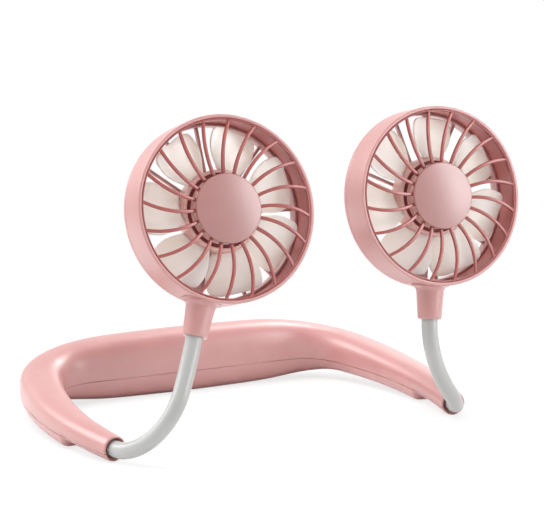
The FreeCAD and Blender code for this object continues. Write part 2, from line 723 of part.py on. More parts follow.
FERRULE_START = SLEEVE_IN_MOUTH + FERRULE_GAP
FERRULE_END = FERRULE_START + LOWER_FERRULE_LENGTH
CORE_IN_MOUTH = FERRULE_END + CORE_PAST_FERRULE
UPPER_FERRULE_START = SLEEVE_IN_STEM + FERRULE_GAP
UPPER_FERRULE_END = UPPER_FERRULE_START + UPPER_FERRULE_LENGTH
CORE_IN_STEM = UPPER_FERRULE_END + CORE_PAST_FERRULE
STEM_BORE_DEPTH = UPPER_FERRULE_END + FERRULE_GAP


def gooseneck_parts(head):
    """Sleeve, core, leads and both ferrules of one gooseneck."""
    tip, leave, _, end, arrive = gooseneck_route(head)

    def tube(outer, inner, before, after):
        return swept(ring_face(outer, inner), tip - leave * before, head, before, after)

    sleeve = tube(SLEEVE_RADIUS, SLEEVE_BORE_RADIUS, SLEEVE_IN_MOUTH, SLEEVE_IN_STEM)
    core = tube(CORE_RADIUS, CORE_BORE_RADIUS, CORE_IN_MOUTH, CORE_IN_STEM)
    before = CORE_IN_MOUTH + LEADS_PAST_CORE
    leads = []
    for shift in (-LEAD_SPACING / 2, LEAD_SPACING / 2):
        face = Part.Face(Part.Wire(Part.makeCircle(LEAD_RADIUS, Vector(shift, 0, 0))))
        leads.append(swept(face, tip - leave * before, head, before, CORE_IN_STEM))
    bore = CORE_RADIUS + FERRULE_CLEARANCE
    lower = Part.makeCylinder(MOUTH_RADIUS - FERRULE_CLEARANCE, LOWER_FERRULE_LENGTH, tip - leave * FERRULE_END, leave)
    lower = lower.cut(Part.makeCylinder(bore, LOWER_FERRULE_LENGTH, tip - leave * FERRULE_END, leave))
    upper = Part.makeCylinder(SLEEVE_RADIUS, UPPER_FERRULE_LENGTH, end + arrive * UPPER_FERRULE_START, arrive)
    upper = upper.cut(Part.makeCylinder(bore, UPPER_FERRULE_LENGTH, end + arrive * UPPER_FERRULE_START, arrive))
    return {
        "gooseneck_sleeve": sleeve,
        "gooseneck_core": core,
        "gooseneck_leads": Part.makeCompound(leads),
        "lower_ferrule": lower,
        "upper_ferrule": upper,
    }


# Fan heads, in their own frame

def spoke_wall(inner, outer, sweep, sagitta, width):
    """Tall curved wall from the hub outwards, its outer end turned clockwise by the sweep."""
    turn = math.radians(90 - sweep)
    start = Vector(0, HEAD_FRONT_Y * 2, inner)
    end = Vector(outer * math.cos(turn), HEAD_FRONT_Y * 2, outer * math.sin(turn))
    chord = end - start
    bulge = Vector(-chord.z, 0, chord.x).normalize()
    radius = (chord.Length ** 2 / 4 + sagitta ** 2) / (2 * sagitta)
    centre = (start + end) * 0.5 + bulge * (sagitta - radius)
    rays = [(start - centre).normalize(), bulge, (end - centre).normalize()]
    sides = [[centre + ray * r for ray in rays] for r in (radius - width / 2, radius + width / 2)]
    edges = [
        Part.Arc(*sides[0]).toShape(),
        Part.LineSegment(sides[0][2], sides[1][2]).toShape(),
        Part.Arc(*reversed(sides[1])).toShape(),
        Part.LineSegment(sides[1][0], sides[0][0]).toShape(),
    ]
    return Part.Face(Part.Wire(edges)).extrude(Y_AXIS * HEAD_DEPTH * 2)


def grille_shell():
    """Bulged disc in which the front spokes lie."""
    wall = GRILLE_RADIUS - GRILLE_RING_WALL / 2
    hub = HUB_RADIUS - HUB_WALL / 2
    middle = (wall + hub) / 2
    middle_y = (GRILLE_HUB_Y + GRILLE_EDGE_Y) / 2 - GRILLE_CROWN
    return revolved(
        [
            Vector(hub, GRILLE_HUB_Y, 0),
            (Vector(middle, middle_y, 0), Vector(wall, GRILLE_EDGE_Y, 0)),
            Vector(wall, GRILLE_EDGE_Y + SPOKE_DEPTH, 0),
            (Vector(middle, middle_y + SPOKE_DEPTH, 0), Vector(hub, GRILLE_HUB_Y + SPOKE_DEPTH, 0)),
        ],
        Y_AXIS,
    )


def stem_solid():
    """Tapered stem below the drum, flared where it joins it."""
    top = HEAD_RADIUS + STEM_FLARE
    return revolved(
        [
            Vector(0, 0, -STEM_END),
            Vector(STEM_END_RADIUS - STEM_CHAMFER, 0, -STEM_END),
            Vector(STEM_END_RADIUS, 0, -STEM_END + STEM_CHAMFER),
            Vector(STEM_TOP_RADIUS, 0, -top),
            (
                Vector(STEM_TOP_RADIUS + STEM_FLARE * 0.3, 0, -top + STEM_FLARE * 0.7),
                Vector(STEM_TOP_RADIUS + STEM_FLARE, 0, -HEAD_RADIUS),
            ),
            Vector(STEM_TOP_RADIUS + STEM_FLARE, 0, -HEAD_BORE_RADIUS),
            Vector(0, 0, -HEAD_BORE_RADIUS),
        ],
        Z_AXIS,
    )


def front_shell():
    """Drum and stem in one moulding."""
    drum = cylinder_y(HEAD_RADIUS, HEAD_FRONT_Y, DRUM_REAR_Y, HEAD_BORE_RADIUS)
    rims = [edge for edge in drum.Edges if edge.BoundBox.YMax < HEAD_FRONT_Y + 1e-6]
    drum = drum.makeFillet(RIM_ROUND, rims)
    stem = stem_solid().cut(cylinder_y(HEAD_BORE_RADIUS + HEAD_WALL / 2, -HEAD_DEPTH, HEAD_DEPTH))
    stem = stem.cut(box(Vector(-BIG, DRUM_REAR_Y, -BIG), Vector(BIG, BIG, BIG)))
    shell = drum.fuse(stem)
    bore_top = -STEM_END + STEM_BORE_DEPTH
    shell = shell.cut(cylinder_z(SLEEVE_RADIUS + STEM_BORE_CLEARANCE, Vector(), -STEM_END, bore_top))
    return shell.cut(cylinder_z(CORE_RADIUS + STEM_CORE_CLEARANCE, Vector(), bore_top, -HEAD_RADIUS * 0.9))


def front_grille():
    """Ring, curved spokes and hub skirt, pressed into the drum's mouth."""
    ring_inner = GRILLE_RADIUS - GRILLE_RING_WALL
    ring = cylinder_y(GRILLE_RADIUS, GRILLE_EDGE_Y, GRILLE_EDGE_Y + GRILLE_RING_DEPTH, ring_inner)
    wall = GRILLE_RADIUS - GRILLE_RING_WALL / 2
    spoke = spoke_wall(HUB_RADIUS - HUB_WALL / 2, wall, SPOKE_SWEEP, SPOKE_SAGITTA, SPOKE_WIDTH)
    spoke = grille_shell().common(spoke)
    skirt = cylinder_y(HUB_RADIUS, GRILLE_HUB_Y, GRILLE_HUB_Y + HUB_SKIRT_DEPTH, HUB_RADIUS - HUB_WALL)
    groove_y = GRILLE_HUB_Y + SPOKE_DEPTH
    groove = cylinder_y(HUB_RADIUS + HUB_GROOVE, groove_y, groove_y + HUB_GROOVE_WIDTH, HUB_RADIUS - HUB_GROOVE)
    return ring.fuse([skirt.cut(groove)] + around(spoke, SPOKE_COUNT, Y_AXIS))


def hub_cap():
    """Domed cap over the middle of the grille, on a spigot in the hub skirt."""
    rear = GRILLE_HUB_Y - CAP_GAP
    front = rear - CAP_EDGE
    spigot = HUB_RADIUS - HUB_WALL - CAP_CLEARANCE
    return revolved(
        [
            Vector(0, front - CAP_DOME, 0),
            (
                Vector(CAP_RADIUS * 0.5, front - CAP_DOME * 0.76, 0),
                Vector(CAP_RADIUS - CAP_EDGE * 0.5, front, 0),
            ),
            (Vector(CAP_RADIUS - CAP_EDGE * 0.15, front + CAP_EDGE * 0.15, 0), Vector(CAP_RADIUS, front + CAP_EDGE * 0.5, 0)),
            Vector(CAP_RADIUS, rear, 0),
            Vector(spigot, rear, 0),
            Vector(spigot, rear + CAP_SPIGOT, 0),
            Vector(0, rear + CAP_SPIGOT, 0),
        ],
        Y_AXIS,
    )


def rear_cover():
    """Rear ring with radial spokes, the motor cup and a duct for the leads."""
    ring = cylinder_y(HEAD_RADIUS, COVER_FRONT_Y, HEAD_REAR_Y, HEAD_BORE_RADIUS - COVER_LIP_WALL)
    rim = [
        edge
        for edge in ring.Edges
        if edge.BoundBox.YMin > HEAD_REAR_Y - 1e-6 and edge.BoundBox.XMax > HEAD_RADIUS - 1e-6
    ]
    ring = ring.makeFillet(COVER_ROUND, rim)
    lip_outer = HEAD_BORE_RADIUS - CAP_CLEARANCE
    lip = cylinder_y(lip_outer, COVER_FRONT_Y - COVER_LIP_DEPTH, COVER_FRONT_Y, HEAD_BORE_RADIUS - COVER_LIP_WALL)
    cup = cylinder_y(CUP_RADIUS, CUP_FRONT_Y, HEAD_REAR_Y)
    spoke = box(
        Vector(-REAR_SPOKE_WIDTH / 2, HEAD_REAR_Y - REAR_SPOKE_DEPTH, MOTOR_RADIUS),
        Vector(REAR_SPOKE_WIDTH / 2, HEAD_REAR_Y, HEAD_BORE_RADIUS),
    )
    duct = box(
        Vector(-DUCT_WIDTH / 2, HEAD_REAR_Y - DUCT_DEPTH, -HEAD_BORE_RADIUS),
        Vector(DUCT_WIDTH / 2, HEAD_REAR_Y, -MOTOR_RADIUS),
    )
    trough = box(
        Vector(-DUCT_WIDTH / 2 + DUCT_WALL, -HEAD_DEPTH, -BIG),
        Vector(DUCT_WIDTH / 2 - DUCT_WALL, HEAD_REAR_Y - DUCT_WALL, -MOTOR_RADIUS),
    )
    cover = ring.fuse([lip, cup, duct] + around(spoke, REAR_SPOKE_COUNT, Y_AXIS)).cut(trough)
    return cover.cut(cylinder_y(MOTOR_RADIUS + MOTOR_CLEARANCE, CUP_FRONT_Y, CUP_FLOOR_Y))


def motor_parts():
    """Can, magnet ring, end cap, armature and shaft of one motor."""
    can = cylinder_y(MOTOR_RADIUS, MOTOR_FRONT_Y, MOTOR_REAR_Y)
    can = can.fuse(cylinder_y(BUSH_RADIUS, BUSH_FRONT_Y, MOTOR_FRONT_Y))
    can = can.cut(cylinder_y(CAN_BORE_RADIUS, MOTOR_FRONT_Y + CAN_FRONT, MOTOR_REAR_Y))
    can = can.cut(cylinder_y(SHAFT_RADIUS + SHAFT_CLEARANCE, BUSH_FRONT_Y, MOTOR_REAR_Y))
    insert_radius = CAN_BORE_RADIUS - PRESS_CLEARANCE
    half = MAGNET_LENGTH / 2
    magnet = cylinder_y(insert_radius, ROTOR_MIDDLE_Y - half, ROTOR_MIDDLE_Y + half, MAGNET_BORE_RADIUS)
    end_cap = cylinder_y(insert_radius, END_CAP_FRONT_Y, MOTOR_REAR_Y, SHAFT_RADIUS + SHAFT_CLEARANCE)
    half = ARMATURE_LENGTH / 2
    radius = MAGNET_BORE_RADIUS - AIR_GAP
    bore = SHAFT_RADIUS + PRESS_CLEARANCE
    armature = cylinder_y(radius, ROTOR_MIDDLE_Y - half, ROTOR_MIDDLE_Y + half, bore)
    slot = box(
        Vector(-ARMATURE_SLOT / 2, -BIG, radius - ARMATURE_SLOT_DEPTH),
        Vector(ARMATURE_SLOT / 2, BIG, BIG),
    )
    armature = armature.cut(around(slot, 3, Y_AXIS))
    shaft = cylinder_y(SHAFT_RADIUS, SHAFT_FRONT_Y, MOTOR_REAR_Y - MOTOR_CLEARANCE)
    return {
        "motor_can": can,
        "motor_magnet": magnet,
        "motor_end_cap": end_cap,
        "motor_armature": armature,
        "motor_shaft": shaft,
    }


def blade_section(radius, half_width):
    """Thin slanted strip across a blade at a radius, running to the rear clockwise seen from the front."""
    half = Vector(half_width, (BLADE_REAR_Y - BLADE_FRONT_Y) / 2, 0)
    thick = Vector(half.y, -half.x, 0).normalize() * (BLADE_THICKNESS / 2)
    middle = Vector(0, (BLADE_REAR_Y + BLADE_FRONT_Y) / 2, radius)
    corners = [middle + half + thick, middle + half - thick, middle - half - thick, middle - half + thick]
    return Part.makePolygon(corners + corners[:1])


def blade():
    """Twisted blade trimmed to a rounded petal outline."""
    root = IMPELLER_HUB_RADIUS - IMPELLER_HUB_WALL / 2
    sections = [
        blade_section(root, BLADE_ROOT_HALF_WIDTH),
        blade_section((root + BLADE_WIDE_RADIUS) / 2, (BLADE_ROOT_HALF_WIDTH + BLADE_WIDE_HALF_WIDTH) / 2),
        blade_section(BLADE_WIDE_RADIUS, BLADE_WIDE_HALF_WIDTH),
        blade_section(BLADE_TIP_RADIUS + BLADE_CORNER_ROUND, BLADE_WIDE_HALF_WIDTH),
    ]
    slab = Part.makeLoft(sections, True, False)
    start = BLADE_FRONT_Y - BLADE_WIDE_HALF_WIDTH
    half_widths = (BLADE_ROOT_HALF_WIDTH, BLADE_WIDE_HALF_WIDTH, BLADE_TIP_HALF_WIDTH)
    heights = (root, BLADE_WIDE_RADIUS, BLADE_TIP_RADIUS)
    right = [Vector(w, start, h) for w, h in zip(half_widths, heights)]
    left = [Vector(-p.x, p.y, p.z) for p in reversed(right)]
    wide = BLADE_CORNER_ROUND * 1.4
    outline = rounded_polygon(right + left, [0, wide, BLADE_CORNER_ROUND, BLADE_CORNER_ROUND, wide, 0])
    petal = Part.Face(outline).extrude(Y_AXIS * BLADE_WIDE_HALF_WIDTH * 3)
    return slab.common(petal)


def impeller():
    """Hub cup, shaft boss and blades."""
    hub = cylinder_y(IMPELLER_HUB_RADIUS, IMPELLER_FRONT_Y, IMPELLER_REAR_Y)
    rim = [edge for edge in hub.Edges if edge.BoundBox.YMax < IMPELLER_FRONT_Y + 1e-6]
    hub = hub.makeFillet(IMPELLER_HUB_WALL * 0.8, rim)
    inside_y = IMPELLER_FRONT_Y + IMPELLER_HUB_WALL
    hollow = cylinder_y(IMPELLER_HUB_RADIUS - IMPELLER_HUB_WALL, inside_y, BLADE_REAR_Y + BLADE_THICKNESS)
    groove = cylinder_y(
        IMPELLER_GROOVE_RADIUS + IMPELLER_GROOVE_WIDTH / 2,
        IMPELLER_FRONT_Y,
        IMPELLER_FRONT_Y + IMPELLER_GROOVE_DEPTH,
        IMPELLER_GROOVE_RADIUS - IMPELLER_GROOVE_WIDTH / 2,
    )
    boss = cylinder_y(IMPELLER_BOSS_RADIUS, IMPELLER_FRONT_Y, BUSH_FRONT_Y - IMPELLER_BOSS_GAP)
    wheel = hub.fuse(around(blade(), BLADE_COUNT, Y_AXIS)).cut([hollow, groove]).fuse(boss)
    return wheel.cut(cylinder_y(SHAFT_RADIUS + PRESS_CLEARANCE, SHAFT_FRONT_Y, HEAD_REAR_Y))


def head_parts():
    """Every piece of a fan head in the head's own frame."""
    parts = {
        "front_shell": front_shell(),
        "front_grille": front_grille(),
        "hub_cap": hub_cap(),
        "rear_cover": rear_cover(),
        "impeller": impeller(),
    }
    parts.update(motor_parts())
    return parts


def save(node, shape):
    """Writes one sub-part."""
    shape.exportStep("parts/" + node + ".step")


def main():
    os.makedirs("parts", exist_ok=True)
    upper, lower = neckband_shells()
    save("upper_shell", upper)
    save("lower_shell", lower)
    save("battery_cell", battery_cell())
    save("control_board", control_board())
    save("shell_screws", shell_screws())
    save("board_screws", board_screws())
    save("power_button", power_button())
    save("switch_plunger", switch_plunger())
    save("tact_switch", tact_switch())
    save("switch_board", small_board(-1, SWITCH_BOARD_REAR, SWITCH_BOARD_Z))
    save("light_pipe", light_pipe())
    save("charge_socket", charge_socket())
    save("charge_board", small_board(1, SOCKET_BOARD_REAR, SOCKET_BOARD_Z))
    head_shapes = head_parts()
    for name, head in HEADS.items():
        for part, shape in gooseneck_parts(head).items():
            save(name + "_" + part, shape)
        for part, shape in head_shapes.items():
            placed = shape.copy()
            placed.Placement = head_placement(head).multiply(placed.Placement)
            save(name + "_" + part, placed)


main()
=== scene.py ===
import json
import math

import bpy
from mathutils import Matrix, Vector


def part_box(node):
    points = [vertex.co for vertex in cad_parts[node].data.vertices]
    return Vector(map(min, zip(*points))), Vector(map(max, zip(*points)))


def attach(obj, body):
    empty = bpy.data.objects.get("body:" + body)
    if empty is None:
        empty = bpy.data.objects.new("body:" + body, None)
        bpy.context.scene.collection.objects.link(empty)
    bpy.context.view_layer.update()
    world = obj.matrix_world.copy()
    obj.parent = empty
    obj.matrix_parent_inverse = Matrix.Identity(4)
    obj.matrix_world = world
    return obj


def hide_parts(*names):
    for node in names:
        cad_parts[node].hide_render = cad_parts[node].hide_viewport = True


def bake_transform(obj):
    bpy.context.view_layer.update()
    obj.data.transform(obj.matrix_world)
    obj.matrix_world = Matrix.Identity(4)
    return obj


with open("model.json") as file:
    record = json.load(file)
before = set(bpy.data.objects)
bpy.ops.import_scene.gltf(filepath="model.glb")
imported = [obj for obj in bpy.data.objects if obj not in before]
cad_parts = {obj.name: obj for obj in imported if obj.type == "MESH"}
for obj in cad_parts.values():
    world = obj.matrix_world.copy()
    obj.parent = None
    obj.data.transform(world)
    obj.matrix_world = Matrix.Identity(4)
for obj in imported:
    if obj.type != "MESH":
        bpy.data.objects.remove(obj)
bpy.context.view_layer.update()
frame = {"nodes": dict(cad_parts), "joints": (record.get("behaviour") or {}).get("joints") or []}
joints = {joint["name"]: joint for joint in frame["joints"]}

# Metres, in the frame of the solids: +Z up, -Y the open front of the neckband,
# +X to the right seen from there.

# Neckband plan: a straight back, a corner arc and a long side arc on each side.
BACK_HALF_LENGTH = 0.0487
BACK_Y = 0.0842
CORNER_RADIUS = 0.0288
CORNER_TURN = math.radians(74.9)
SIDE_TURN = math.radians(29.2)
TIP_Y = -0.032

# Neckband section: share of the half length, half height and half width.
BAND_STATIONS = (
    (0.0, 0.0150, 0.0110),
    (0.2, 0.0145, 0.0110),
    (0.45, 0.0092, 0.0096),
    (0.75, 0.0059, 0.0076),
    (1.0, 0.0052, 0.0052),
)
BACK_LIFT = 0.00215
LIFT_END_SHARE = 0.45
SQUARENESS = 2.8
SQUARE_UNTIL_SHARE = 0.45
RING_POINTS = 32
RINGS_PER_ARM = 22
SKIN_LEVELS = 2
TIP_ROUND = 0.0006
BAND_WALL = 0.0016
SEAM_Z = -0.0015
SEAM_GAP = 0.0002
SEAM_EDGE = 0.00025
REST_Z = -0.0125

# Rings of a rounded tip: how far before its end and how far in, counted in tip rounds.
TIP_RINGS = ((2.5, 0.0), (1.0, 0.0), (0.3, 0.3), (0.0, 1.0))

# Underside of the arms: level down to a step in front of the button and the socket.
LEVEL_Z = -0.007
LEVEL_SQUARENESS = 3.6
STEP_AHEAD = 0.0035
STEP_LENGTH = 0.003
STEP_RINGS = 3
BUTTON_HOLE_RADIUS = 0.0032
LIGHT_HOLE_RADIUS = 0.0013
LIGHT_BACK = 0.0095
SOCKET_HOLE_WIDTH = 0.0037
SOCKET_HOLE_LENGTH = 0.0094
SOCKET_HOLE_ROUND = 0.49 * SOCKET_HOLE_WIDTH
SCREW_HOLE_RADIUS = 0.00215
SCREW_X = 0.0425
SCREW_Y = 0.0882
HOLE_BOTTOM_Z = -0.02
CONTROL_HOLE_TOP_Z = -0.0025
SCREW_HOLE_TOP_Z = -0.0085
HOLE_SIDES = 48

# Gooseneck.
SLEEVE_RADIUS = 0.00335
SLEEVE_IN_MOUTH = 0.007
SLEEVE_IN_STEM = 0.005
REACH = {"left": 0.031, "right": 0.012}
LOW_ZONE_SHARE = 0.3
HIGH_ZONE_SHARE = 0.88
SLEEVE_SIDES = 40

# Steps along the sleeve, from the neckband's mouth to the stem.
MOUTH_STEPS = 6
ROOT_STEPS = 16
BEND_STEPS = 32
NECK_STEPS = 8
TOP_STEPS = 24
STEM_STEPS = 4

# Fan head, on the bench: front along +Z, stem along -Y, middle of the drum at the origin.
HEAD_RADIUS = 0.0375
HEAD_WALL = 0.0015
HEAD_FRONT = 0.0086
DRUM_REAR = -0.0054
RIM_ROUND = 0.0005
STEM_END = 0.0512
STEM_END_RADIUS = 0.005
STEM_TOP_RADIUS = 0.0058
STEM_FLARE = 0.0022
STEM_BORE_RADIUS = 0.0035
STEM_BORE_DEPTH = 0.0079
STEM_BORE_EDGE = 0.0002
STEM_END_ROUND = 0.0006
STEM_SIDES = 72
BORE_RADIUS = HEAD_RADIUS - HEAD_WALL
FIT_GAP = 0.0001

# Front grille.
SPOKE_COUNT = 20
SPOKE_WIDTH = 0.0014
SPOKE_DEPTH = 0.0012
SPOKE_SWEEP = math.radians(7)
SPOKE_SAGITTA = 0.002
SPOKE_STEPS = 16
SPOKE_ROUND = 0.0003
GRILLE_RADIUS = BORE_RADIUS - FIT_GAP
GRILLE_RING_WALL = 0.0006
GRILLE_RING_DEPTH = 0.0026
GRILLE_RING_EDGE = 0.0002
GRILLE_RING_SINK = 0.00015
GRILLE_HUB_SINK = 0.0006
GRILLE_EDGE = HEAD_FRONT - GRILLE_RING_SINK
GRILLE_HUB = HEAD_FRONT - GRILLE_HUB_SINK
GRILLE_CROWN = 0.0013
HUB_RADIUS = 0.0132
HUB_WALL = 0.0016
HUB_SKIRT_DEPTH = 0.0044
HUB_GROOVE_DEPTH = 0.0004
HUB_GROOVE_WIDTH = 0.0008
HUB_SKIRT_EDGE = 0.00015
CAP_RADIUS = 0.0139
CAP_EDGE = 0.0013
CAP_ROUND = CAP_EDGE / 2
CAP_DOME = 0.0011
CAP_STEPS = 24
CAP_STANDS_OFF = 0.0005
CAP_REAR = GRILLE_HUB + CAP_STANDS_OFF
CAP_SPIGOT = 0.002

# Rear cover.
COVER_FRONT = -0.0056
COVER_REAR = -0.0086
COVER_ROUND = 0.0014
COVER_EDGE = 0.0002
COVER_LIP_RADIUS = BORE_RADIUS - FIT_GAP
COVER_LIP_DEPTH = 0.002
COVER_LIP_INSET = 0.0012
COVER_INNER = BORE_RADIUS - COVER_LIP_INSET
REAR_SPOKE_COUNT = 15
REAR_SPOKE_WIDTH = 0.0012
REAR_SPOKE_DEPTH = 0.002
REAR_SPOKE_ROUND = 0.0003
REAR_OVERLAP = 0.0006
CUP_RADIUS = 0.0115
CUP_BORE = 0.0103
CUP_FRONT = -0.0019
CUP_FLOOR = -0.0074
CUP_EDGE = 0.0004
DUCT_WIDTH = 0.0048
DUCT_DEPTH = 0.0026
DUCT_ROUND = 0.0004

# Impeller.
BLADE_COUNT = 7
BLADE_ROOT = 0.0158
BLADE_WIDE = 0.0268
BLADE_TIP = 0.0333
BLADE_ROOT_HALF = 0.0054
BLADE_WIDE_HALF = 0.0107
BLADE_FRONT = 0.0024
BLADE_REAR = -0.0046
BLADE_THICKNESS = 0.0011
BLADE_ROUND = 0.0003
BLADE_TIP_MARGIN = 0.0003
BLADE_TIP_SQUARENESS = 6
BLADE_COLUMNS = 12
BLADE_ROWS = 16
BLADE_LEVELS = 1
IMPELLER_HUB = 0.0165
IMPELLER_WALL = 0.0014
IMPELLER_FRONT = 0.0028
IMPELLER_REAR = -0.005
IMPELLER_ROUND = 0.0011
IMPELLER_EDGE = 0.0002
FACE_GROOVE_INNER = 0.0136
FACE_GROOVE_OUTER = 0.015
FACE_GROOVE_DEPTH = 0.0007

TURN_STEPS = 128
MERGE_DISTANCE = 0.00001

# Places along the half centreline.
SIDE_END = CORNER_TURN + SIDE_TURN
CORNER_END_X = BACK_HALF_LENGTH + CORNER_RADIUS * math.sin(CORNER_TURN)
CORNER_END_Y = BACK_Y - CORNER_RADIUS * (1 - math.cos(CORNER_TURN))
SIDE_RADIUS = (CORNER_END_Y - TIP_Y) / (math.cos(CORNER_TURN) - math.cos(SIDE_END))
CORNER_LENGTH = CORNER_RADIUS * CORNER_TURN
HALF_LENGTH = BACK_HALF_LENGTH + CORNER_LENGTH + SIDE_RADIUS * SIDE_TURN


# Working with pieces

def deselect():
    """Leaves nothing selected."""
    bpy.ops.object.select_all(action="DESELECT")


def pick(piece):
    """Makes a piece the only selected one."""
    deselect()
    piece.select_set(True)
    bpy.context.view_layer.objects.active = piece


def edit(piece):
    """Opens a piece in edit mode with everything in it selected."""
    pick(piece)
    bpy.ops.object.mode_set(mode="EDIT")
    bpy.ops.mesh.select_mode(type="VERT")
    bpy.ops.mesh.select_all(action="SELECT")


def close_edit():
    """Leaves edit mode."""
    bpy.ops.object.mode_set(mode="OBJECT")


def settle(piece):
    """Puts a piece's place, turn and scale into its mesh."""
    pick(piece)
    bpy.ops.object.transform_apply(location=True, rotation=True, scale=True)
    return piece


def closed(piece):
    """Merges the doubles of a piece and turns its faces outwards."""
    edit(piece)
    bpy.ops.mesh.remove_doubles(threshold=MERGE_DISTANCE)
    bpy.ops.mesh.normals_make_consistent(inside=False)
    close_edit()
    return piece


def modify(piece, kind, **settings):
    """Adds a modifier to a piece and applies it."""
    pick(piece)
    modifier = piece.modifiers.new(kind.lower(), kind)
    for key, value in settings.items():
        setattr(modifier, key, value)
    bpy.ops.object.modifier_apply(modifier=modifier.name)
    return piece


def rounded(piece, width, segments=3, angle=35):
    """Rounds the sharp edges of a piece."""
    return modify(
        piece,
        "BEVEL",
        width=width,
        segments=segments,
        limit_method="ANGLE",
        angle_limit=math.radians(angle),
        use_clamp_overlap=True,
    )


def smoothed(piece, angle=40):
    """Shades a piece smooth apart from its sharp edges."""
    pick(piece)
    bpy.ops.object.shade_smooth_by_angle(angle=math.radians(angle))
    return piece


def subdivided(piece, levels):
    """Smooths a piece's faces by subdivision."""
    return modify(piece, "SUBSURF", levels=levels, render_levels=levels)


def joined(name, pieces):
    """One piece made of several."""
    deselect()
    for piece in pieces:
        piece.select_set(True)
    bpy.context.view_layer.objects.active = pieces[0]
    bpy.ops.object.join()
    pieces[0].name = name
    return pieces[0]


def copied(piece, name):
    """A copy of a piece with its own mesh."""
    pick(piece)
    bpy.ops.object.duplicate(linked=False)
    copy = bpy.context.object
    copy.name = name
    return copy


def cut_out(piece, tool):
    """Takes a tool's shape out of a piece and the tool out of the scene."""
    modify(piece, "BOOLEAN", operation="DIFFERENCE", object=tool, solver="EXACT")
    bpy.data.objects.remove(tool)


def drawn(name, points, loop):
    """A point drawn out into a line through the points, back to the first one for a loop."""
    deselect()
    bpy.ops.mesh.primitive_plane_add(size=0.001, location=points[0])
    line = settle(bpy.context.object)
    line.name = name
    edit(line)
    bpy.ops.mesh.merge(type="CENTER")
    route = list(points) + ([points[0]] if loop else [])
    for here, there in zip(route, route[1:]):
        step = Vector(there) - Vector(here)
        bpy.ops.mesh.extrude_vertices_move(TRANSFORM_OT_translate={"value": step})
    close_edit()
    return line


def turned(name, outline, axis="Z", loop=True, steps=TURN_STEPS):
    """A round piece: an outline of radius and height spun about an axis through the origin."""
    if axis == "Z":
        points = [(r, 0, h) for r, h in outline]
    else:
        points = [(r, h, 0) for r, h in outline]
    piece = drawn(name, points, loop)
    edit(piece)
    direction = (0, 0, 1) if axis == "Z" else (0, 1, 0)
    bpy.ops.mesh.spin(steps=steps, angle=2 * math.pi, center=(0, 0, 0), axis=direction)
    close_edit()
    return closed(piece)


def repeated_round(piece, count):
    """Copies of a piece's mesh spaced evenly about the bench's Z axis."""
    edit(piece)
    bpy.ops.mesh.spin(
        steps=count - 1,
        dupli=True,
        angle=2 * math.pi * (count - 1) / count,
        center=(0, 0, 0),
        axis=(0, 0, 1),
    )
    close_edit()
    return piece


def arc(centre, radius, start, end, count):
    """Points of an arc as pairs, angles in degrees."""
    pairs = []
    for i in range(count + 1):
        angle = math.radians(start + (end - start) * i / count)
        pairs.append((centre[0] + radius * math.cos(angle), centre[1] + radius * math.sin(angle)))
    return pairs


def block(name, low, high):
    """Box between two corners."""
    low, high = Vector(low), Vector(high)
    deselect()
    bpy.ops.mesh.primitive_cube_add(size=1, location=(low + high) / 2)
    piece = bpy.context.object
    piece.scale = high - low
    piece.name = name
    return settle(piece)


def upright_tool(radius, place, low, high):
    """Upright cylinder for cutting a round hole."""
    deselect()
    middle = (place[0], place[1], (low + high) / 2)
    bpy.ops.mesh.primitive_cylinder_add(
        vertices=HOLE_SIDES, radius=radius, depth=high - low, location=middle
    )
    return settle(bpy.context.object)


# Neckband

def band_place(share):
    """Centre and heading of the neckband at a signed share of its half length."""
    length = abs(share) * HALF_LENGTH
    side = -1 if share < 0 else 1
    if length <= BACK_HALF_LENGTH:
        x, y, turn = length, BACK_Y, 0.0
    elif length <= BACK_HALF_LENGTH + CORNER_LENGTH:
        turn = (length - BACK_HALF_LENGTH) / CORNER_RADIUS
        x = BACK_HALF_LENGTH + CORNER_RADIUS * math.sin(turn)
        y = BACK_Y - CORNER_RADIUS * (1 - math.cos(turn))
    else:
        turn = CORNER_TURN + (length - BACK_HALF_LENGTH - CORNER_LENGTH) / SIDE_RADIUS
        x = CORNER_END_X + SIDE_RADIUS * (math.sin(turn) - math.sin(CORNER_TURN))
        y = CORNER_END_Y - SIDE_RADIUS * (math.cos(CORNER_TURN) - math.cos(turn))
    past = max(0.0, (abs(share) - LIFT_END_SHARE) / (1 - LIFT_END_SHARE))
    return Vector((side * x, y, BACK_LIFT * (1 - past * past))), side * turn


def station_slope(index, column):
    """Slope of a section size at a station: level in the middle of the back, straight into the tip."""
    if index == 0:
        return 0.0
    before, here = BAND_STATIONS[index - 1:index + 1]
    fall_in = (here[column] - before[column]) / (here[0] - before[0])
    if index == len(BAND_STATIONS) - 1:
        return fall_in
    after = BAND_STATIONS[index + 1]
    fall_out = (after[column] - here[column]) / (after[0] - here[0])
    if fall_in * fall_out <= 0:
        return 0.0
    return 2 * fall_in * fall_out / (fall_in + fall_out)


def section_size(share, column):
    """Half height (1) or half width (2) of the neckband, eased between the stations."""
    share = abs(share)
    index = max(i for i, station in enumerate(BAND_STATIONS[:-1]) if station[0] <= share)
    low, high = BAND_STATIONS[index], BAND_STATIONS[index + 1]
    span = high[0] - low[0]
    t = (share - low[0]) / span
    rise = high[column] - low[column]
    start = station_slope(index, column) * span
    end = station_slope(index + 1, column) * span
    return low[column] + t * (start + t * (3 * rise - 2 * start - end + t * (start + end - 2 * rise)))


def control_place(side):
    """Middle of what sits in an arm's underside: the button on the left, the socket on the right."""
    low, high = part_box("power_button" if side < 0 else "charge_socket")
    return (low + high) / 2


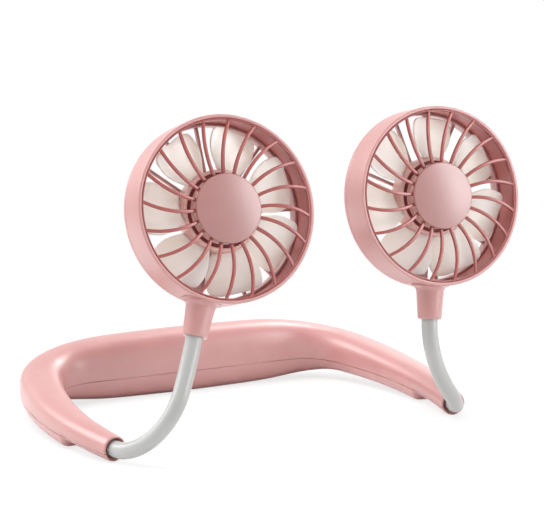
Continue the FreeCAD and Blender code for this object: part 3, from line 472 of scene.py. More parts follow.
def step_share(ahead):
    """Share of the half length at which an arm has gone a distance past the middle of its socket."""
    drop = CORNER_END_Y - control_place(1).y + ahead
    turn = math.acos(math.cos(CORNER_TURN) - drop / SIDE_RADIUS)
    return (BACK_HALF_LENGTH + CORNER_LENGTH + SIDE_RADIUS * (turn - CORNER_TURN)) / HALF_LENGTH


def levelled(share):
    """How far the underside is drawn down: not on the back, wholly on an arm up to its step."""
    share = abs(share)
    first, last = step_share(STEP_AHEAD), step_share(STEP_AHEAD + STEP_LENGTH)
    if share < SQUARE_UNTIL_SHARE or share > last:
        return 0.0
    rest = min(1.0, (last - share) / (last - first))
    return rest * rest * (3 - 2 * rest)


def band_ring(share, inset):
    """A ring of the neckband's surface: a circle squared off, sized, stood up and turned to its place."""
    centre, turn = band_place(share)
    deselect()
    bpy.ops.mesh.primitive_circle_add(vertices=RING_POINTS, radius=1, fill_type="NOTHING")
    ring = bpy.context.object
    past = max(0.0, (abs(share) - SQUARE_UNTIL_SHARE) / (1 - SQUARE_UNTIL_SHARE))
    above = SQUARENESS + (2.0 - SQUARENESS) * past
    height = section_size(share, 1) - inset
    level = levelled(share)
    below = above + (LEVEL_SQUARENESS - above) * level
    depth = height + max(0.0, centre.z - LEVEL_Z - height) * level
    for vertex in ring.data.vertices:
        x, y = abs(vertex.co.x), abs(vertex.co.y)
        power = below if vertex.co.y < 0 else above
        vertex.co *= (x ** power + y ** power) ** (-1 / power)
        vertex.co.y *= depth / height if vertex.co.y < 0 else 1
    ring.scale = (section_size(share, 2) - inset, height, 1)
    ring.rotation_euler = (math.pi / 2, 0, math.pi / 2 - turn)
    ring.location = centre
    return settle(ring)


def band_skin():
    """Outer surface of the neckband, bridged through its rings, with rounded tips."""
    even = [i / RINGS_PER_ARM for i in range(RINGS_PER_ARM)]
    step = [step_share(STEP_AHEAD + STEP_LENGTH * i / STEP_RINGS) for i in range(-1, STEP_RINGS + 2)]
    round_share = TIP_ROUND / HALF_LENGTH
    away = [share for share in even if share < step[0] or share > step[-1]]
    arm = [(share, 0.0) for share in sorted(away + step)]
    arm += [(1 - before * round_share, TIP_ROUND * inset) for before, inset in TIP_RINGS]
    stations = [(-share, inset) for share, inset in reversed(arm[1:])] + arm
    skin = joined("band_skin", [band_ring(share, inset) for share, inset in stations])
    edit(skin)
    bpy.ops.mesh.bridge_edge_loops()
    close_edit()
    return subdivided(closed(skin), SKIN_LEVELS)


def rest_flat(half):
    """Presses what hangs below the resting level flat."""
    edit(half)
    bpy.ops.mesh.select_all(action="DESELECT")
    close_edit()
    for vertex in half.data.vertices:
        vertex.select = vertex.co.z < REST_Z
    bpy.ops.object.mode_set(mode="EDIT")
    bpy.ops.transform.resize(value=(1, 1, 0), center_override=(0, 0, REST_Z))
    close_edit()


def band_half(skin, name, above):
    """Upper or lower part of the neckband's skin, given its wall and a softened edge at the seam."""
    half = copied(skin, name)
    height = SEAM_Z + (SEAM_GAP / 2 if above else -SEAM_GAP / 2)
    edit(half)
    bpy.ops.mesh.bisect(
        plane_co=(0, 0, height), plane_no=(0, 0, 1), clear_inner=above, clear_outer=not above
    )
    close_edit()
    if not above:
        rest_flat(half)
    modify(half, "SOLIDIFY", thickness=BAND_WALL, offset=-1, use_even_offset=False)
    return rounded(half, SEAM_EDGE, 2, angle=50)


def neckband():
    """Both shells of the neckband."""
    skin = band_skin()
    upper = band_half(skin, "upper_moulding", True)
    lower = band_half(skin, "lower_moulding", False)
    bpy.data.objects.remove(skin)
    button, socket = control_place(-1), control_place(1)
    light = button + Vector((0, LIGHT_BACK, 0))
    cut_out(lower, upright_tool(BUTTON_HOLE_RADIUS, button, HOLE_BOTTOM_Z, CONTROL_HOLE_TOP_Z))
    cut_out(lower, upright_tool(LIGHT_HOLE_RADIUS, light, HOLE_BOTTOM_Z, CONTROL_HOLE_TOP_Z))
    half = Vector((SOCKET_HOLE_WIDTH / 2, SOCKET_HOLE_LENGTH / 2, 0))
    low = Vector((socket.x, socket.y, HOLE_BOTTOM_Z)) - half
    high = Vector((socket.x, socket.y, CONTROL_HOLE_TOP_Z)) + half
    cut_out(lower, rounded(block("slot", low, high), SOCKET_HOLE_ROUND, 8))
    for side in (-1, 1):
        place = (side * SCREW_X, SCREW_Y)
        cut_out(lower, upright_tool(SCREW_HOLE_RADIUS, place, HOLE_BOTTOM_Z, SCREW_HOLE_TOP_Z))
    for piece, node in ((upper, "upper_shell"), (lower, "lower_shell")):
        smoothed(piece)
        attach(piece, "neckband")
        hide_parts(node)
        paint(piece, "pink_shell")


# Goosenecks

def head_place(side):
    """Place of a head's bench frame, from its fan's axis and the point where its stem tilts."""
    spin, tilt = joints[side + "_fan_spin"], joints[side + "_head_tilt"]
    middle = Vector(spin["pos_m"])
    front = Vector(spin["axis"]).normalized()
    up = (middle - Vector(tilt["pos_m"])).normalized()
    right = up.cross(front).normalized()
    up = front.cross(right)
    turn = Matrix((right, up, front)).transposed().to_4x4()
    return Matrix.Translation(middle) @ turn


def arc_to(start, heading, end):
    """Arc that leaves start along heading and reaches end: its centre, axis and angle."""
    chord = end - start
    half = heading.angle(chord)
    axis = heading.cross(chord).normalized()
    radius = chord.length / (2 * math.sin(half))
    return start + axis.cross(heading).normalized() * radius, axis, 2 * half


def along(point, heading, bow, share):
    """Point and heading after a share of an arc."""
    centre, axis, angle = bow
    turn = Matrix.Rotation(angle * share, 3, axis)
    return centre + turn @ (point - centre), turn @ heading


def sleeve_ring(name, point, heading):
    """Ring of the sleeve across its run."""
    deselect()
    bpy.ops.mesh.primitive_circle_add(vertices=SLEEVE_SIDES, radius=SLEEVE_RADIUS, fill_type="NOTHING")
    ring = bpy.context.object
    ring.name = name
    ring.rotation_mode = "QUATERNION"
    ring.rotation_quaternion = heading.to_track_quat("Z", "Y")
    ring.location = point
    return settle(ring)


def run_straight(step, count):
    """Draws the selected ring straight on."""
    for _ in range(count):
        bpy.ops.mesh.extrude_region_move(TRANSFORM_OT_translate={"value": step / count})


def run_round(bow, share, steps):
    """Carries the selected ring on round a share of an arc."""
    centre, axis, angle = bow
    bpy.ops.mesh.spin(steps=steps, angle=-angle * share, center=centre, axis=axis)


def gooseneck(side):
    """Sleeve in three lengths, each spanning one of the arm's hinges, meeting the next end to end."""
    sign = -1 if side == "left" else 1
    turn = sign * SIDE_END
    tip = band_place(sign)[0]
    leave = Vector((sign * math.cos(turn), -sign * math.sin(turn), 0))
    place = head_place(side)
    arrive = place.col[1].to_3d()
    end = place.translation - arrive * STEM_END
    reach = REACH[side]
    rest = end - tip - leave * reach
    far = (rest.dot(rest) - reach * reach) / (2 * rest.dot(arrive) + 2 * reach)
    first, last = tip + leave * reach, end - arrive * far
    middle = first.lerp(last, reach / (reach + far))
    low_bow = arc_to(tip, leave, middle)
    heading = along(tip, leave, low_bow, 1)[1]
    high_bow = arc_to(middle, heading, end)
    low_point, low_heading = along(tip, leave, low_bow, LOW_ZONE_SHARE)
    high_point, high_heading = along(tip, leave, low_bow, HIGH_ZONE_SHARE)

    root = sleeve_ring(side + "_sleeve_root", tip - leave * SLEEVE_IN_MOUTH, leave)
    edit(root)
    run_straight(leave * SLEEVE_IN_MOUTH, MOUTH_STEPS)
    run_round(low_bow, LOW_ZONE_SHARE, ROOT_STEPS)
    close_edit()
    bend = sleeve_ring(side + "_sleeve_bend", low_point, low_heading)
    edit(bend)
    run_round(low_bow, HIGH_ZONE_SHARE - LOW_ZONE_SHARE, BEND_STEPS)
    close_edit()
    neck = sleeve_ring(side + "_sleeve_neck", high_point, high_heading)
    edit(neck)
    run_round(low_bow, 1 - HIGH_ZONE_SHARE, NECK_STEPS)
    run_round(high_bow, 1, TOP_STEPS)
    run_straight(arrive * SLEEVE_IN_STEM, STEM_STEPS)
    close_edit()

    lengths = (
        (root, "neckband", side + "_lower_arm", tip, tip + leave * (low_point - tip).dot(leave)),
        (bend, side + "_lower_arm", side + "_upper_arm", low_point, high_point),
        (neck, side + "_upper_arm", side + "_head", high_point, end),
    )
    for piece, before, after, start, finish in lengths:
        smoothed(closed(piece), 60)
        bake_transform(piece)
        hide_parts(side + "_gooseneck_sleeve")
        paint(piece, "white_sleeve")
    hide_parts(side + "_gooseneck_core", side + "_gooseneck_leads")


# Fan heads, made once on the bench

def drum_and_stem():
    """Drum wall with a rounded rim, and the flared stem under it."""
    rim = HEAD_FRONT - RIM_ROUND
    outline = [(HEAD_RADIUS, DRUM_REAR)]
    outline += arc((HEAD_RADIUS - RIM_ROUND, rim), RIM_ROUND, 0, 90, 6)
    outline += arc((BORE_RADIUS + RIM_ROUND, rim), RIM_ROUND, 90, 180, 6)
    outline += [(BORE_RADIUS, DRUM_REAR)]
    drum = turned("drum", outline)
    top = HEAD_RADIUS + STEM_FLARE
    stem_outline = [
        (0, -STEM_END + STEM_BORE_DEPTH),
        (STEM_BORE_RADIUS, -STEM_END + STEM_BORE_DEPTH),
        (STEM_BORE_RADIUS, -STEM_END + STEM_BORE_EDGE),
        (STEM_BORE_RADIUS + STEM_BORE_EDGE, -STEM_END),
    ]
    corner = (STEM_END_RADIUS - STEM_END_ROUND, -STEM_END + STEM_END_ROUND)
    stem_outline += arc(corner, STEM_END_ROUND, -90, 0, 5)
    stem_outline += [((STEM_END_RADIUS + STEM_TOP_RADIUS) / 2, (-STEM_END - top) / 2)]
    stem_outline += arc((STEM_TOP_RADIUS + STEM_FLARE, -top), STEM_FLARE, 180, 90, 8)
    wall_middle = -HEAD_RADIUS + HEAD_WALL / 2
    stem_outline += [(STEM_TOP_RADIUS + STEM_FLARE, wall_middle), (0, wall_middle)]
    stem = turned("stem", stem_outline, axis="Y", loop=False, steps=STEM_SIDES)
    edit(stem)
    bpy.ops.mesh.bisect(
        plane_co=(0, 0, DRUM_REAR), plane_no=(0, 0, 1), use_fill=True, clear_inner=True, clear_outer=False
    )
    close_edit()
    return smoothed(joined("drum", [drum, closed(stem)]))


def spoke():
    """Curved bar from the hub to the ring, crowned along its length, its edges rounded."""
    inner, outer = HUB_RADIUS - HUB_WALL / 2, GRILLE_RADIUS - GRILLE_RING_WALL / 2
    start = Vector((0, inner, 0))
    end = Vector((outer * math.sin(SPOKE_SWEEP), outer * math.cos(SPOKE_SWEEP), 0))
    chord = end - start
    bulge = Vector((-chord.y, chord.x, 0)).normalized()
    points = []
    for i in range(SPOKE_STEPS + 1):
        t = i / SPOKE_STEPS
        bow = 4 * t * (1 - t)
        front = GRILLE_HUB + (GRILLE_EDGE - GRILLE_HUB) * t + GRILLE_CROWN * bow
        lift = Vector((0, 0, front - SPOKE_DEPTH / 2))
        points.append(start + chord * t + bulge * SPOKE_SAGITTA * bow + lift)
    deselect()
    bpy.ops.mesh.primitive_plane_add(size=1)
    bar = bpy.context.object
    bar.scale = (SPOKE_WIDTH, SPOKE_DEPTH, 1)
    bar.rotation_euler = (math.pi / 2, 0, 0)
    bar.location = points[0]
    settle(bar)
    edit(bar)
    for here, there in zip(points, points[1:]):
        bpy.ops.mesh.extrude_region_move(TRANSFORM_OT_translate={"value": there - here})
    close_edit()
    return rounded(closed(bar), SPOKE_ROUND, angle=50)


def grille():
    """Ring, curved spokes and the grooved hub skirt."""
    bars = repeated_round(spoke(), SPOKE_COUNT)
    ring_rear = GRILLE_EDGE - GRILLE_RING_DEPTH
    ring_inner = GRILLE_RADIUS - GRILLE_RING_WALL
    ring = turned(
        "ring",
        [
            (GRILLE_RADIUS, ring_rear),
            (GRILLE_RADIUS, GRILLE_EDGE),
            (ring_inner, GRILLE_EDGE),
            (ring_inner, ring_rear),
        ],
    )
    rounded(ring, GRILLE_RING_EDGE, 2)
    inner = HUB_RADIUS - HUB_WALL
    groove_front = GRILLE_HUB - SPOKE_DEPTH
    groove_rear = groove_front - HUB_GROOVE_WIDTH
    skirt_rear = GRILLE_HUB - HUB_SKIRT_DEPTH
    skirt = turned(
        "skirt",
        [
            (inner, GRILLE_HUB),
            (HUB_RADIUS, GRILLE_HUB),
            (HUB_RADIUS, groove_front),
            (HUB_RADIUS - HUB_GROOVE_DEPTH, groove_front),
            (HUB_RADIUS - HUB_GROOVE_DEPTH, groove_rear),
            (HUB_RADIUS, groove_rear),
            (HUB_RADIUS, skirt_rear),
            (inner, skirt_rear),
        ],
    )
    rounded(skirt, HUB_SKIRT_EDGE, 2)
    return smoothed(joined("grille", [bars, ring, skirt]))


def cap():
    """Domed cap with a small rounded edge, on a spigot."""
    front = CAP_REAR + CAP_EDGE
    spigot = HUB_RADIUS - HUB_WALL - FIT_GAP
    spigot_rear = CAP_REAR - CAP_SPIGOT
    dome_radius = CAP_RADIUS - CAP_ROUND
    outline = []
    for i in range(CAP_STEPS + 1):
        r = dome_radius * i / CAP_STEPS
        outline.append((r, front + CAP_DOME * (1 - (r / dome_radius) ** 2)))
    outline += arc((dome_radius, front - CAP_ROUND), CAP_ROUND, 80, 0, 6)
    outline += [(CAP_RADIUS, CAP_REAR), (spigot, CAP_REAR), (spigot, spigot_rear), (0, spigot_rear)]
    return smoothed(turned("cap", outline, loop=False))


def cover():
    """Rear ring with its lip, straight spokes, the motor cup and the duct for the leads."""
    ring_outline = [(HEAD_RADIUS, COVER_FRONT)]
    ring_outline += arc((HEAD_RADIUS - COVER_ROUND, COVER_REAR + COVER_ROUND), COVER_ROUND, 0, -90, 8)
    ring_outline += [
        (COVER_INNER, COVER_REAR),
        (COVER_INNER, COVER_FRONT + COVER_LIP_DEPTH),
        (COVER_LIP_RADIUS, COVER_FRONT + COVER_LIP_DEPTH),
        (COVER_LIP_RADIUS, COVER_FRONT),
    ]
    ring = rounded(turned("ring", ring_outline), COVER_EDGE, 2)
    cup_outline = [
        (0, COVER_REAR),
        (CUP_RADIUS, COVER_REAR),
        (CUP_RADIUS, CUP_FRONT),
        (CUP_BORE, CUP_FRONT),
        (CUP_BORE, CUP_FLOOR),
        (0, CUP_FLOOR),
    ]
    cup = rounded(turned("cup", cup_outline, loop=False), CUP_EDGE)
    inner, outer = CUP_RADIUS - REAR_OVERLAP, COVER_INNER + REAR_OVERLAP
    half = REAR_SPOKE_WIDTH / 2
    bar = block("bar", (-half, inner, COVER_REAR), (half, outer, COVER_REAR + REAR_SPOKE_DEPTH))
    bars = repeated_round(rounded(bar, REAR_SPOKE_ROUND), REAR_SPOKE_COUNT)
    half = DUCT_WIDTH / 2
    duct = block("duct", (-half, -outer, COVER_REAR), (half, -inner, COVER_REAR + DUCT_DEPTH))
    return smoothed(joined("cover", [ring, cup, bars, rounded(duct, DUCT_ROUND)]))


def blade():
    """Slanted petal, widest past its middle, with a rounded tip."""
    deselect()
    bpy.ops.mesh.primitive_grid_add(x_subdivisions=BLADE_COLUMNS, y_subdivisions=BLADE_ROWS, size=2)
    petal = bpy.context.object
    slant, level = (BLADE_FRONT - BLADE_REAR) / 2, (BLADE_FRONT + BLADE_REAR) / 2
    for vertex in petal.data.vertices:
        across, share = vertex.co.x, (vertex.co.y + 1) / 2
        radius = BLADE_ROOT + (BLADE_TIP - BLADE_ROOT) * math.sin(share * math.pi / 2)
        grown = min(1.0, (radius - BLADE_ROOT) / (BLADE_WIDE - BLADE_ROOT))
        full = BLADE_ROOT_HALF + (BLADE_WIDE_HALF - BLADE_ROOT_HALF) * math.sin(grown * math.pi / 2)
        past = max(0.0, (radius - BLADE_WIDE) / (BLADE_TIP - BLADE_WIDE + BLADE_TIP_MARGIN))
        x = across * full * math.sqrt(1 - past ** BLADE_TIP_SQUARENESS)
        vertex.co = (x, radius, level - slant * x / full)
    modify(petal, "SOLIDIFY", thickness=BLADE_THICKNESS, offset=0)
    rounded(petal, BLADE_ROUND, 2, angle=50)
    return subdivided(petal, BLADE_LEVELS)


def impeller():
    """Hub cup with a ring groove in its face, and the blades."""
    inside = IMPELLER_HUB - IMPELLER_WALL
    groove_floor = IMPELLER_FRONT - FACE_GROOVE_DEPTH
    outline = [
        (0, IMPELLER_FRONT),
        (FACE_GROOVE_INNER, IMPELLER_FRONT),
        (FACE_GROOVE_INNER, groove_floor),
        (FACE_GROOVE_OUTER, groove_floor),
        (FACE_GROOVE_OUTER, IMPELLER_FRONT),
    ]
    centre = (IMPELLER_HUB - IMPELLER_ROUND, IMPELLER_FRONT - IMPELLER_ROUND)
    outline += arc(centre, IMPELLER_ROUND, 90, 0, 6)
    floor = IMPELLER_FRONT - IMPELLER_WALL
    outline += [(IMPELLER_HUB, IMPELLER_REAR), (inside, IMPELLER_REAR), (inside, floor), (0, floor)]
    hub = rounded(turned("hub", outline, loop=False), IMPELLER_EDGE, 2)
    blades = repeated_round(blade(), BLADE_COUNT)
    return smoothed(joined("impeller", [hub, blades]))


def fan_heads():
    """Places a copy of each bench piece in both heads."""
    bench = (
        (drum_and_stem(), "drum", "front_shell", "head", "pink_shell"),
        (grille(), "grille", "front_grille", "head", "pink_grille"),
        (cap(), "cap", "hub_cap", "head", "pink_cap"),
        (cover(), "cover", "rear_cover", "head", "pink_shell"),
        (impeller(), "wheel", "impeller", "fan", "cream_blades"),
    )
    placed = {}
    for template, name, node, body, slot in bench:
        for side in ("left", "right"):
            piece = copied(template, side + "_" + name)
            piece.matrix_world = head_place(side)
            settle(piece)
            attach(piece, side + "_" + body)
            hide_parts(side + "_" + node)
            paint(piece, slot)
            placed[piece.name] = piece
        bpy.data.objects.remove(template)
    return placed


# Materials

NOISE_ROUGHNESS = 0.55
FLOW_SIZE = 0.018
FLOW_LOW = 0.35
FLOW_HIGH = 0.68
FLOW_SHARE = 0.8
SMEAR_SIZE = 0.007
SMEAR_SPREAD = 0.12
GRAIN_STRENGTH = 0.35
COAT_ROUGHNESS = 0.42
GLOW_DEPTHS = (0.006, 0.0054, 0.0048)
STREAK_SIZE = 0.0008
STREAK_SPREAD = 0.2
STREAK_SHADE = 0.82

# How far a face may lie past the edge of what is painted.
FACE_MARGIN = 0.0001


class Socket:
    """A node's output, or a tree before its first node; plain arithmetic on it adds Math nodes."""

    def __init__(self, tree, output=None):
        self.tree = tree
        self.output = output

    def node(self, kind, settings=None, values=None, result=0):
        """Any node: its settings first, then the values or links of its sockets."""
        made = self.tree.nodes.new(kind)
        for key, value in (settings or {}).items():
            setattr(made, key, value)
        for key, value in (values or {}).items():
            feed(made, key, value)
        return Socket(self.tree, made.outputs[result])

    def maths(self, operation, first, second):
        """A Math node on two values."""
        return self.node("ShaderNodeMath", {"operation": operation}, {0: first, 1: second})

    def __add__(self, other):
        return self.maths("ADD", self, other)

    __radd__ = __add__

    def __mul__(self, other):
        return self.maths("MULTIPLY", self, other)

    __rmul__ = __mul__

    def __sub__(self, other):
        return self.maths("SUBTRACT", self, other)

    def __rsub__(self, other):
        return self.maths("SUBTRACT", other, self)

    def clamped(self, low, high):
        """Share of the way from low to high, held between 0 and 1."""
        return self.node(
            "ShaderNodeMapRange",
            {"clamp": True},
            {"Value": self, "From Min": low, "From Max": high, "To Min": 0.0, "To Max": 1.0},
        )

    def noise(self, size, detail):
        """Noise whose grains are about so large."""
        return self.node(
            "ShaderNodeTexNoise",
            None,
            {"Vector": self, "Scale": 1 / size, "Detail": detail, "Roughness": NOISE_ROUGHNESS},
        )


def linear(colour):
    """Linear RGBA of a colour written as 0 to 255 levels on a screen."""
    parts = []
    for level in colour:
        part = level / 255
        parts.append(part / 12.92 if part <= 0.04045 else ((part + 0.055) / 1.055) ** 2.4)
    return (*parts, 1.0)


def new_material(name):
    """An empty material: its shader node and the Object coordinates on it."""
    material = bpy.data.materials.new(name)
    material.use_nodes = True
    tree = material.node_tree
    shader = tree.nodes["Principled BSDF"]
    return material, shader, Socket(tree).node("ShaderNodeTexCoord", result="Object")


def feed(node, name, value):
    """Links a value to a node's socket, or sets it there."""
    if isinstance(value, Socket):
        value.tree.links.new(value.output, node.inputs[name])
    else:
        node.inputs[name].default_value = value


def blended(factor, first, second):
    """A colour between two by a factor."""
    return factor.node(
        "ShaderNodeMix",
        {"data_type": "RGBA", "clamp_factor": True},
        {0: factor, 6: first, 7: second},
        result=2,
    )


def moulded(name, colour, deeper, roughness, grain, depth, gloss=0.5, coat=0.0, glow=0.0):
    """Moulded plastic or rubber: faint flow marks in the colour, a fine surface grain and uneven gloss."""
    material, shader, place = new_material(name)
    flow = place.noise(FLOW_SIZE, 2.0).clamped(FLOW_LOW, FLOW_HIGH)
    speck = place.noise(grain, 2.0)
    marks = flow * FLOW_SHARE + speck * (1 - FLOW_SHARE)
    feed(shader, "Base Color", blended(marks, linear(colour), linear(deeper)))
    smear = place.noise(SMEAR_SIZE, 4.0)
    feed(shader, "Roughness", roughness + (smear - 0.5) * SMEAR_SPREAD)
    raised = {"Strength": GRAIN_STRENGTH, "Distance": depth, "Height": speck}
    feed(shader, "Normal", place.node("ShaderNodeBump", None, raised))
    feed(shader, "Specular IOR Level", gloss)
    feed(shader, "Coat Weight", coat)
    feed(shader, "Coat Roughness", COAT_ROUGHNESS)
    feed(shader, "Subsurface Weight", glow)
    feed(shader, "Subsurface Radius", GLOW_DEPTHS)
    feed(shader, "Subsurface Scale", 1.0)
    return material


def metal(name, colour, roughness, stretch):
    """Drawn or plated metal with fine streaks."""
    material, shader, place = new_material(name)
    pulled = place.node("ShaderNodeMapping", None, {"Vector": place, "Scale": stretch})
    streak = pulled.noise(STREAK_SIZE, 3.0)
    darker = [level * STREAK_SHADE for level in colour]
    feed(shader, "Base Color", blended(streak, linear(colour), linear(darker)))
    feed(shader, "Roughness", roughness + (streak - 0.5) * STREAK_SPREAD)
    feed(shader, "Metallic", 1.0)
    return material


# Mouldings: colour, deeper colour, roughness, size and depth of the grain.
# Metals: colour, roughness and how the streaks are squeezed along each axis.
finishes = {
    "pink_shell": moulded(
        "satin_pink", (178, 124, 121), (172, 117, 114), 0.42, 0.00035, 0.00002, gloss=1.0, coat=0.7
    ),
    # Inner wall of the drum: the shell pink painted deeper and redder, as painted shade inside the drum.
    "pink_inside_painted_shade": moulded("satin_inside_painted_shade", (184, 110, 105), (177, 102, 97), 0.42, 0.00035, 0.00002),
    # Front grille: the shell pink painted deep rose, as painted shade on the spokes.
    "pink_grille": moulded("satin_rose_painted_shade", (148, 58, 52), (141, 52, 46), 0.34, 0.00035, 0.00002, gloss=1.0),
    # Hub cap: a darker copy of the shell pink, as painted shade on its front.
    "pink_cap": moulded(
        "satin_pink_cap", (154, 101, 97), (148, 95, 92), 0.34, 0.0003, 0.00002, gloss=1.0, coat=0.9
    ),
    "cream_blades": moulded(
        "cream_gloss", (254, 242, 226), (251, 237, 220), 0.3, 0.0006, 0.00001, gloss=1.0, coat=0.9, glow=1.0
    ),
    # Hub and skirt: the hub's rose tone, lightened as painted light where they sit in shade.
    "hub_rose_painted_light": moulded("satin_hub_painted_light", (230, 186, 178), (224, 178, 170), 0.32, 0.0004, 0.00002, gloss=1.0),
    # Groove in the hub's face: dark red, as painted shade in the recess.
    "hub_groove_painted_shade": moulded("groove_painted_shade", (128, 50, 48), (118, 44, 42), 0.45, 0.0004, 0.00002),
    # Sleeve: white silicone painted light grey all over, as painted shade.
    "white_sleeve": moulded(
        "white_silicone_painted_shade", (163, 163, 161), (156, 156, 154), 0.36, 0.00025, 0.00002, gloss=1.0
    ),
    "ferrule": metal("turned_aluminium", (200, 200, 204), 0.3, (1, 4, 1)),
    "motor_case": metal("plated_can", (190, 190, 194), 0.28, (1, 3, 1)),
    "magnet": moulded("sintered_magnet", (46, 46, 50), (36, 36, 38), 0.55, 0.0003, 0.00003),
    "motor_plastic": moulded("black_nylon", (34, 34, 36), (28, 28, 30), 0.5, 0.0004, 0.00002),
    "windings": metal("enamelled_copper", (196, 112, 62), 0.32, (4, 1, 4)),
    "shaft": metal("ground_steel", (205, 205, 208), 0.22, (1, 4, 1)),
    "cell_sleeve": moulded("cell_wrap", (70, 112, 160), (62, 104, 150), 0.3, 0.0008, 0.00001),
    "circuit_board": moulded("solder_mask", (30, 92, 52), (24, 80, 44), 0.35, 0.0006, 0.00003),
    "screws": metal("plated_screw", (170, 170, 172), 0.32, (1, 1, 4)),
    "button": moulded("satin_button", (214, 152, 148), (208, 146, 142), 0.36, 0.0003, 0.00002),
    "switch": moulded("black_switch", (30, 30, 32), (24, 24, 26), 0.45, 0.0004, 0.00002),
    "light_guide": moulded("clear_guide", (240, 240, 240), (232, 232, 234), 0.15, 0.0004, 0.00001),
    "socket_shell": metal("stamped_steel", (200, 200, 203), 0.25, (3, 1, 1)),
}

NODE_FINISH = {
    "battery_cell": "cell_sleeve",
    "control_board": "circuit_board",
    "shell_screws": "screws",
    "board_screws": "screws",
    "power_button": "button",
    "switch_plunger": "switch",
    "tact_switch": "switch",
    "switch_board": "circuit_board",
    "light_pipe": "light_guide",
    "charge_socket": "socket_shell",
    "charge_board": "circuit_board",
}
HEAD_NODE_FINISH = {
    "motor_can": "motor_case",
    "motor_magnet": "magnet",
    "motor_end_cap": "motor_plastic",
    "motor_armature": "windings",
    "motor_shaft": "shaft",
    "lower_ferrule": "ferrule",
    "upper_ferrule": "ferrule",
}


def paint(piece, finish):
    """Gives a piece one finish all over."""
    piece.data.materials.clear()
    piece.data.materials.append(finishes[finish])


def paint_where(piece, side, finish, wanted):
    """Gives a head piece's faces another finish where their radius and height on the bench are wanted."""
    piece.data.materials.append(finishes[finish])
    bench = head_place(side).inverted()
    for face in piece.data.polygons:
        place = bench @ face.center
        if wanted(math.hypot(place.x, place.y), place.z):
            face.material_index = len(piece.data.materials) - 1


def on_hub(radius, height):
    """Inside the wheel's hub."""
    return radius < IMPELLER_HUB + FACE_MARGIN


def in_groove(radius, height):
    """In the ring groove of the hub's face."""
    below = IMPELLER_FRONT - height
    sunk = FACE_MARGIN < below < FACE_GROOVE_DEPTH + FACE_MARGIN
    return sunk and FACE_GROOVE_INNER - FACE_MARGIN < radius < FACE_GROOVE_OUTER + FACE_MARGIN


def on_skirt(radius, height):
    """On the skirt behind the cap."""
    return radius < HUB_RADIUS + FACE_MARGIN


def on_inner_wall(radius, height):
    """On the inner wall of the drum."""
    return radius < BORE_RADIUS + 2 * FACE_MARGIN


# The studio

CAMERA_PLACE = Vector((-0.31472, -0.67346, 0.20796))
CAMERA_TARGET = Vector((0.00625, 0.0, 0.06294))
CAMERA_LENS = 119.12
CAMERA_SENSOR = 36

# Floor: it touches the neckband's tips and back, and fades to white away from the part.
FLOOR_SIZE = 8
FLOOR_COLOUR = (240, 240, 240)
FLOOR_DEEPER = (236, 236, 236)
FLOOR_TINT_SIZE = 0.2
FLOOR_ROUGHNESS = 0.9
FLOOR_GLOSS = 0.1
FLOOR_FRONT = (-0.033, -0.0052)
FLOOR_BACK = (BACK_Y, REST_Z)
FLOOR_WHITE = 0.75
FLOOR_FADE_START = 0.12
FLOOR_FADE_END = 0.4

ROOM_LIGHT = 0.14
LAMP_AIM = (0, 0, 0.05)
HEADS_AIM = (0, -0.06, 0.14)


def camera():
    """Camera at the photograph's viewing angle."""
    deselect()
    bpy.ops.object.camera_add(location=CAMERA_PLACE)
    eye = bpy.context.object
    eye.rotation_mode = "QUATERNION"
    eye.rotation_quaternion = (CAMERA_TARGET - CAMERA_PLACE).to_track_quat("-Z", "Y")
    eye.data.lens = CAMERA_LENS
    eye.data.sensor_width = CAMERA_SENSOR
    eye.data.clip_start = 0.01
    eye.data.clip_end = 20
    bpy.context.scene.camera = eye


def floor():
    """Plain pale floor under the neckband's back and tips, as the part lies on it, with its shadow."""
    (front_y, front_z), (back_y, back_z) = FLOOR_FRONT, FLOOR_BACK
    deselect()
    bpy.ops.mesh.primitive_plane_add(size=FLOOR_SIZE, location=(0, front_y, front_z))
    sheet = bpy.context.object
    sheet.name = "floor"
    sheet.rotation_euler = (math.atan2(back_z - front_z, back_y - front_y), 0, 0)
    material, shader, place = new_material("pale_floor")
    tint = place.noise(FLOOR_TINT_SIZE, 2.0)
    feed(shader, "Base Color", blended(tint, linear(FLOOR_COLOUR), linear(FLOOR_DEEPER)))
    feed(shader, "Roughness", FLOOR_ROUGHNESS)
    feed(shader, "Specular IOR Level", FLOOR_GLOSS)
    tree = material.node_tree
    seen = Socket(tree).node("ShaderNodeLightPath", result="Is Camera Ray")
    glow = place.node("ShaderNodeEmission", None, {"Color": (1, 1, 1, 1), "Strength": 1.0})
    distance = place.node("ShaderNodeVectorMath", {"operation": "LENGTH"}, {0: place}, result="Value")
    white = FLOOR_WHITE + distance.clamped(FLOOR_FADE_START, FLOOR_FADE_END) * (1 - FLOOR_WHITE)
    mixed = place.node(
        "ShaderNodeMixShader",
        None,
        {0: seen * white, 1: Socket(tree, shader.outputs[0]), 2: glow},
    )
    tree.links.new(mixed.output, tree.nodes["Material Output"].inputs["Surface"])
    sheet.data.materials.append(material)


def softbox(name, place, target, size, power):
    """A soft lamp turned towards a point, its power in watts."""
    deselect()
    bpy.ops.object.light_add(type="AREA", location=place)
    lamp = bpy.context.object
    lamp.name = name
    lamp.rotation_mode = "QUATERNION"
    lamp.rotation_quaternion = (Vector(target) - Vector(place)).to_track_quat("-Z", "Y")
    lamp.data.shape = "RECTANGLE"
    lamp.data.size, lamp.data.size_y = size
    lamp.data.energy = power
    return lamp


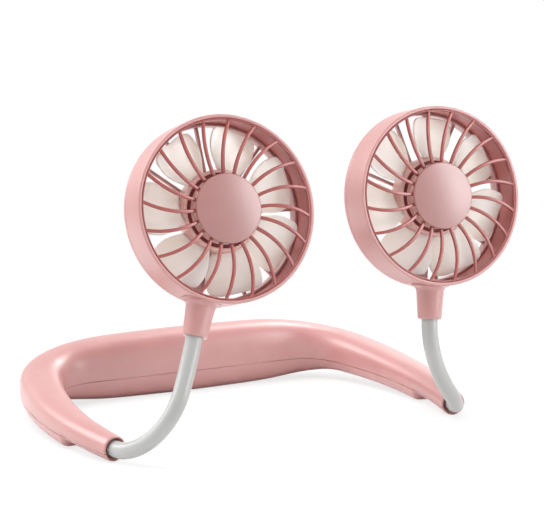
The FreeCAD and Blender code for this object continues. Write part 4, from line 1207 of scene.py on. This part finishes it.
def studio():
    """Even pale surroundings, three soft lamps that show in the gloss and four that only fill."""
    world = bpy.data.worlds.new("studio")
    bpy.context.scene.world = world
    world.use_nodes = True
    tree = world.node_tree
    background = tree.nodes["Background"]
    feed(background, "Color", (1, 1, 1, 1))
    seen = Socket(tree).node("ShaderNodeLightPath", result="Is Camera Ray")
    mirrored = Socket(tree).node("ShaderNodeLightPath", result="Is Glossy Ray")
    through = Socket(tree).node("ShaderNodeLightPath", result="Is Transmission Ray")
    shown = (seen + (mirrored + through)).clamped(0, 1)
    feed(background, "Strength", ROOM_LIGHT + shown * (1 - ROOM_LIGHT))
    softbox("left_softbox", (-0.8, 0.68, 0.74), LAMP_AIM, (0.7, 0.6), 7)
    softbox("right_softbox", (0.74, -0.67, 0.4), LAMP_AIM, (0.36, 0.8), 6)
    softbox("back_softbox", (0.76, 0.56, 0.78), LAMP_AIM, (0.6, 0.5), 7)
    fills = [
        softbox("top_softbox", (-0.3, 0.1, 1.1), LAMP_AIM, (0.9, 0.8), 13),
        softbox("side_softbox", (-1.1, 0.0, 0.4), LAMP_AIM, (0.5, 0.9), 4.5),
        softbox("edge_softbox", (1.1, 0.1, 0.4), LAMP_AIM, (0.5, 0.9), 3),
        softbox("front_softbox", (-0.12, -0.45, 0.32), HEADS_AIM, (0.3, 0.2), 0.3),
    ]
    for lamp in fills:
        lamp.visible_glossy = False
    bpy.context.scene.view_settings.view_transform = "Standard"


# The whole part

neckband()
for side in ("left", "right"):
    gooseneck(side)
heads = fan_heads()
for side in ("left", "right"):
    # The wheel's hub takes the pale rose, lightened as painted light.
    paint_where(heads[side + "_wheel"], side, "hub_rose_painted_light", on_hub)
    # The hub's groove takes the dark red, as painted shade.
    paint_where(heads[side + "_wheel"], side, "hub_groove_painted_shade", in_groove)
    # The grille's skirt takes the same pale rose, as painted light.
    paint_where(heads[side + "_grille"], side, "hub_rose_painted_light", on_skirt)
    # The drum's inner wall takes the deeper pink, as painted shade.
    paint_where(heads[side + "_drum"], side, "pink_inside_painted_shade", on_inner_wall)
for node, finish in NODE_FINISH.items():
    paint(frame["nodes"][node], finish)
for side in ("left", "right"):
    for node, finish in HEAD_NODE_FINISH.items():
        paint(frame["nodes"][side + "_" + node], finish)

camera()
floor()
studio()
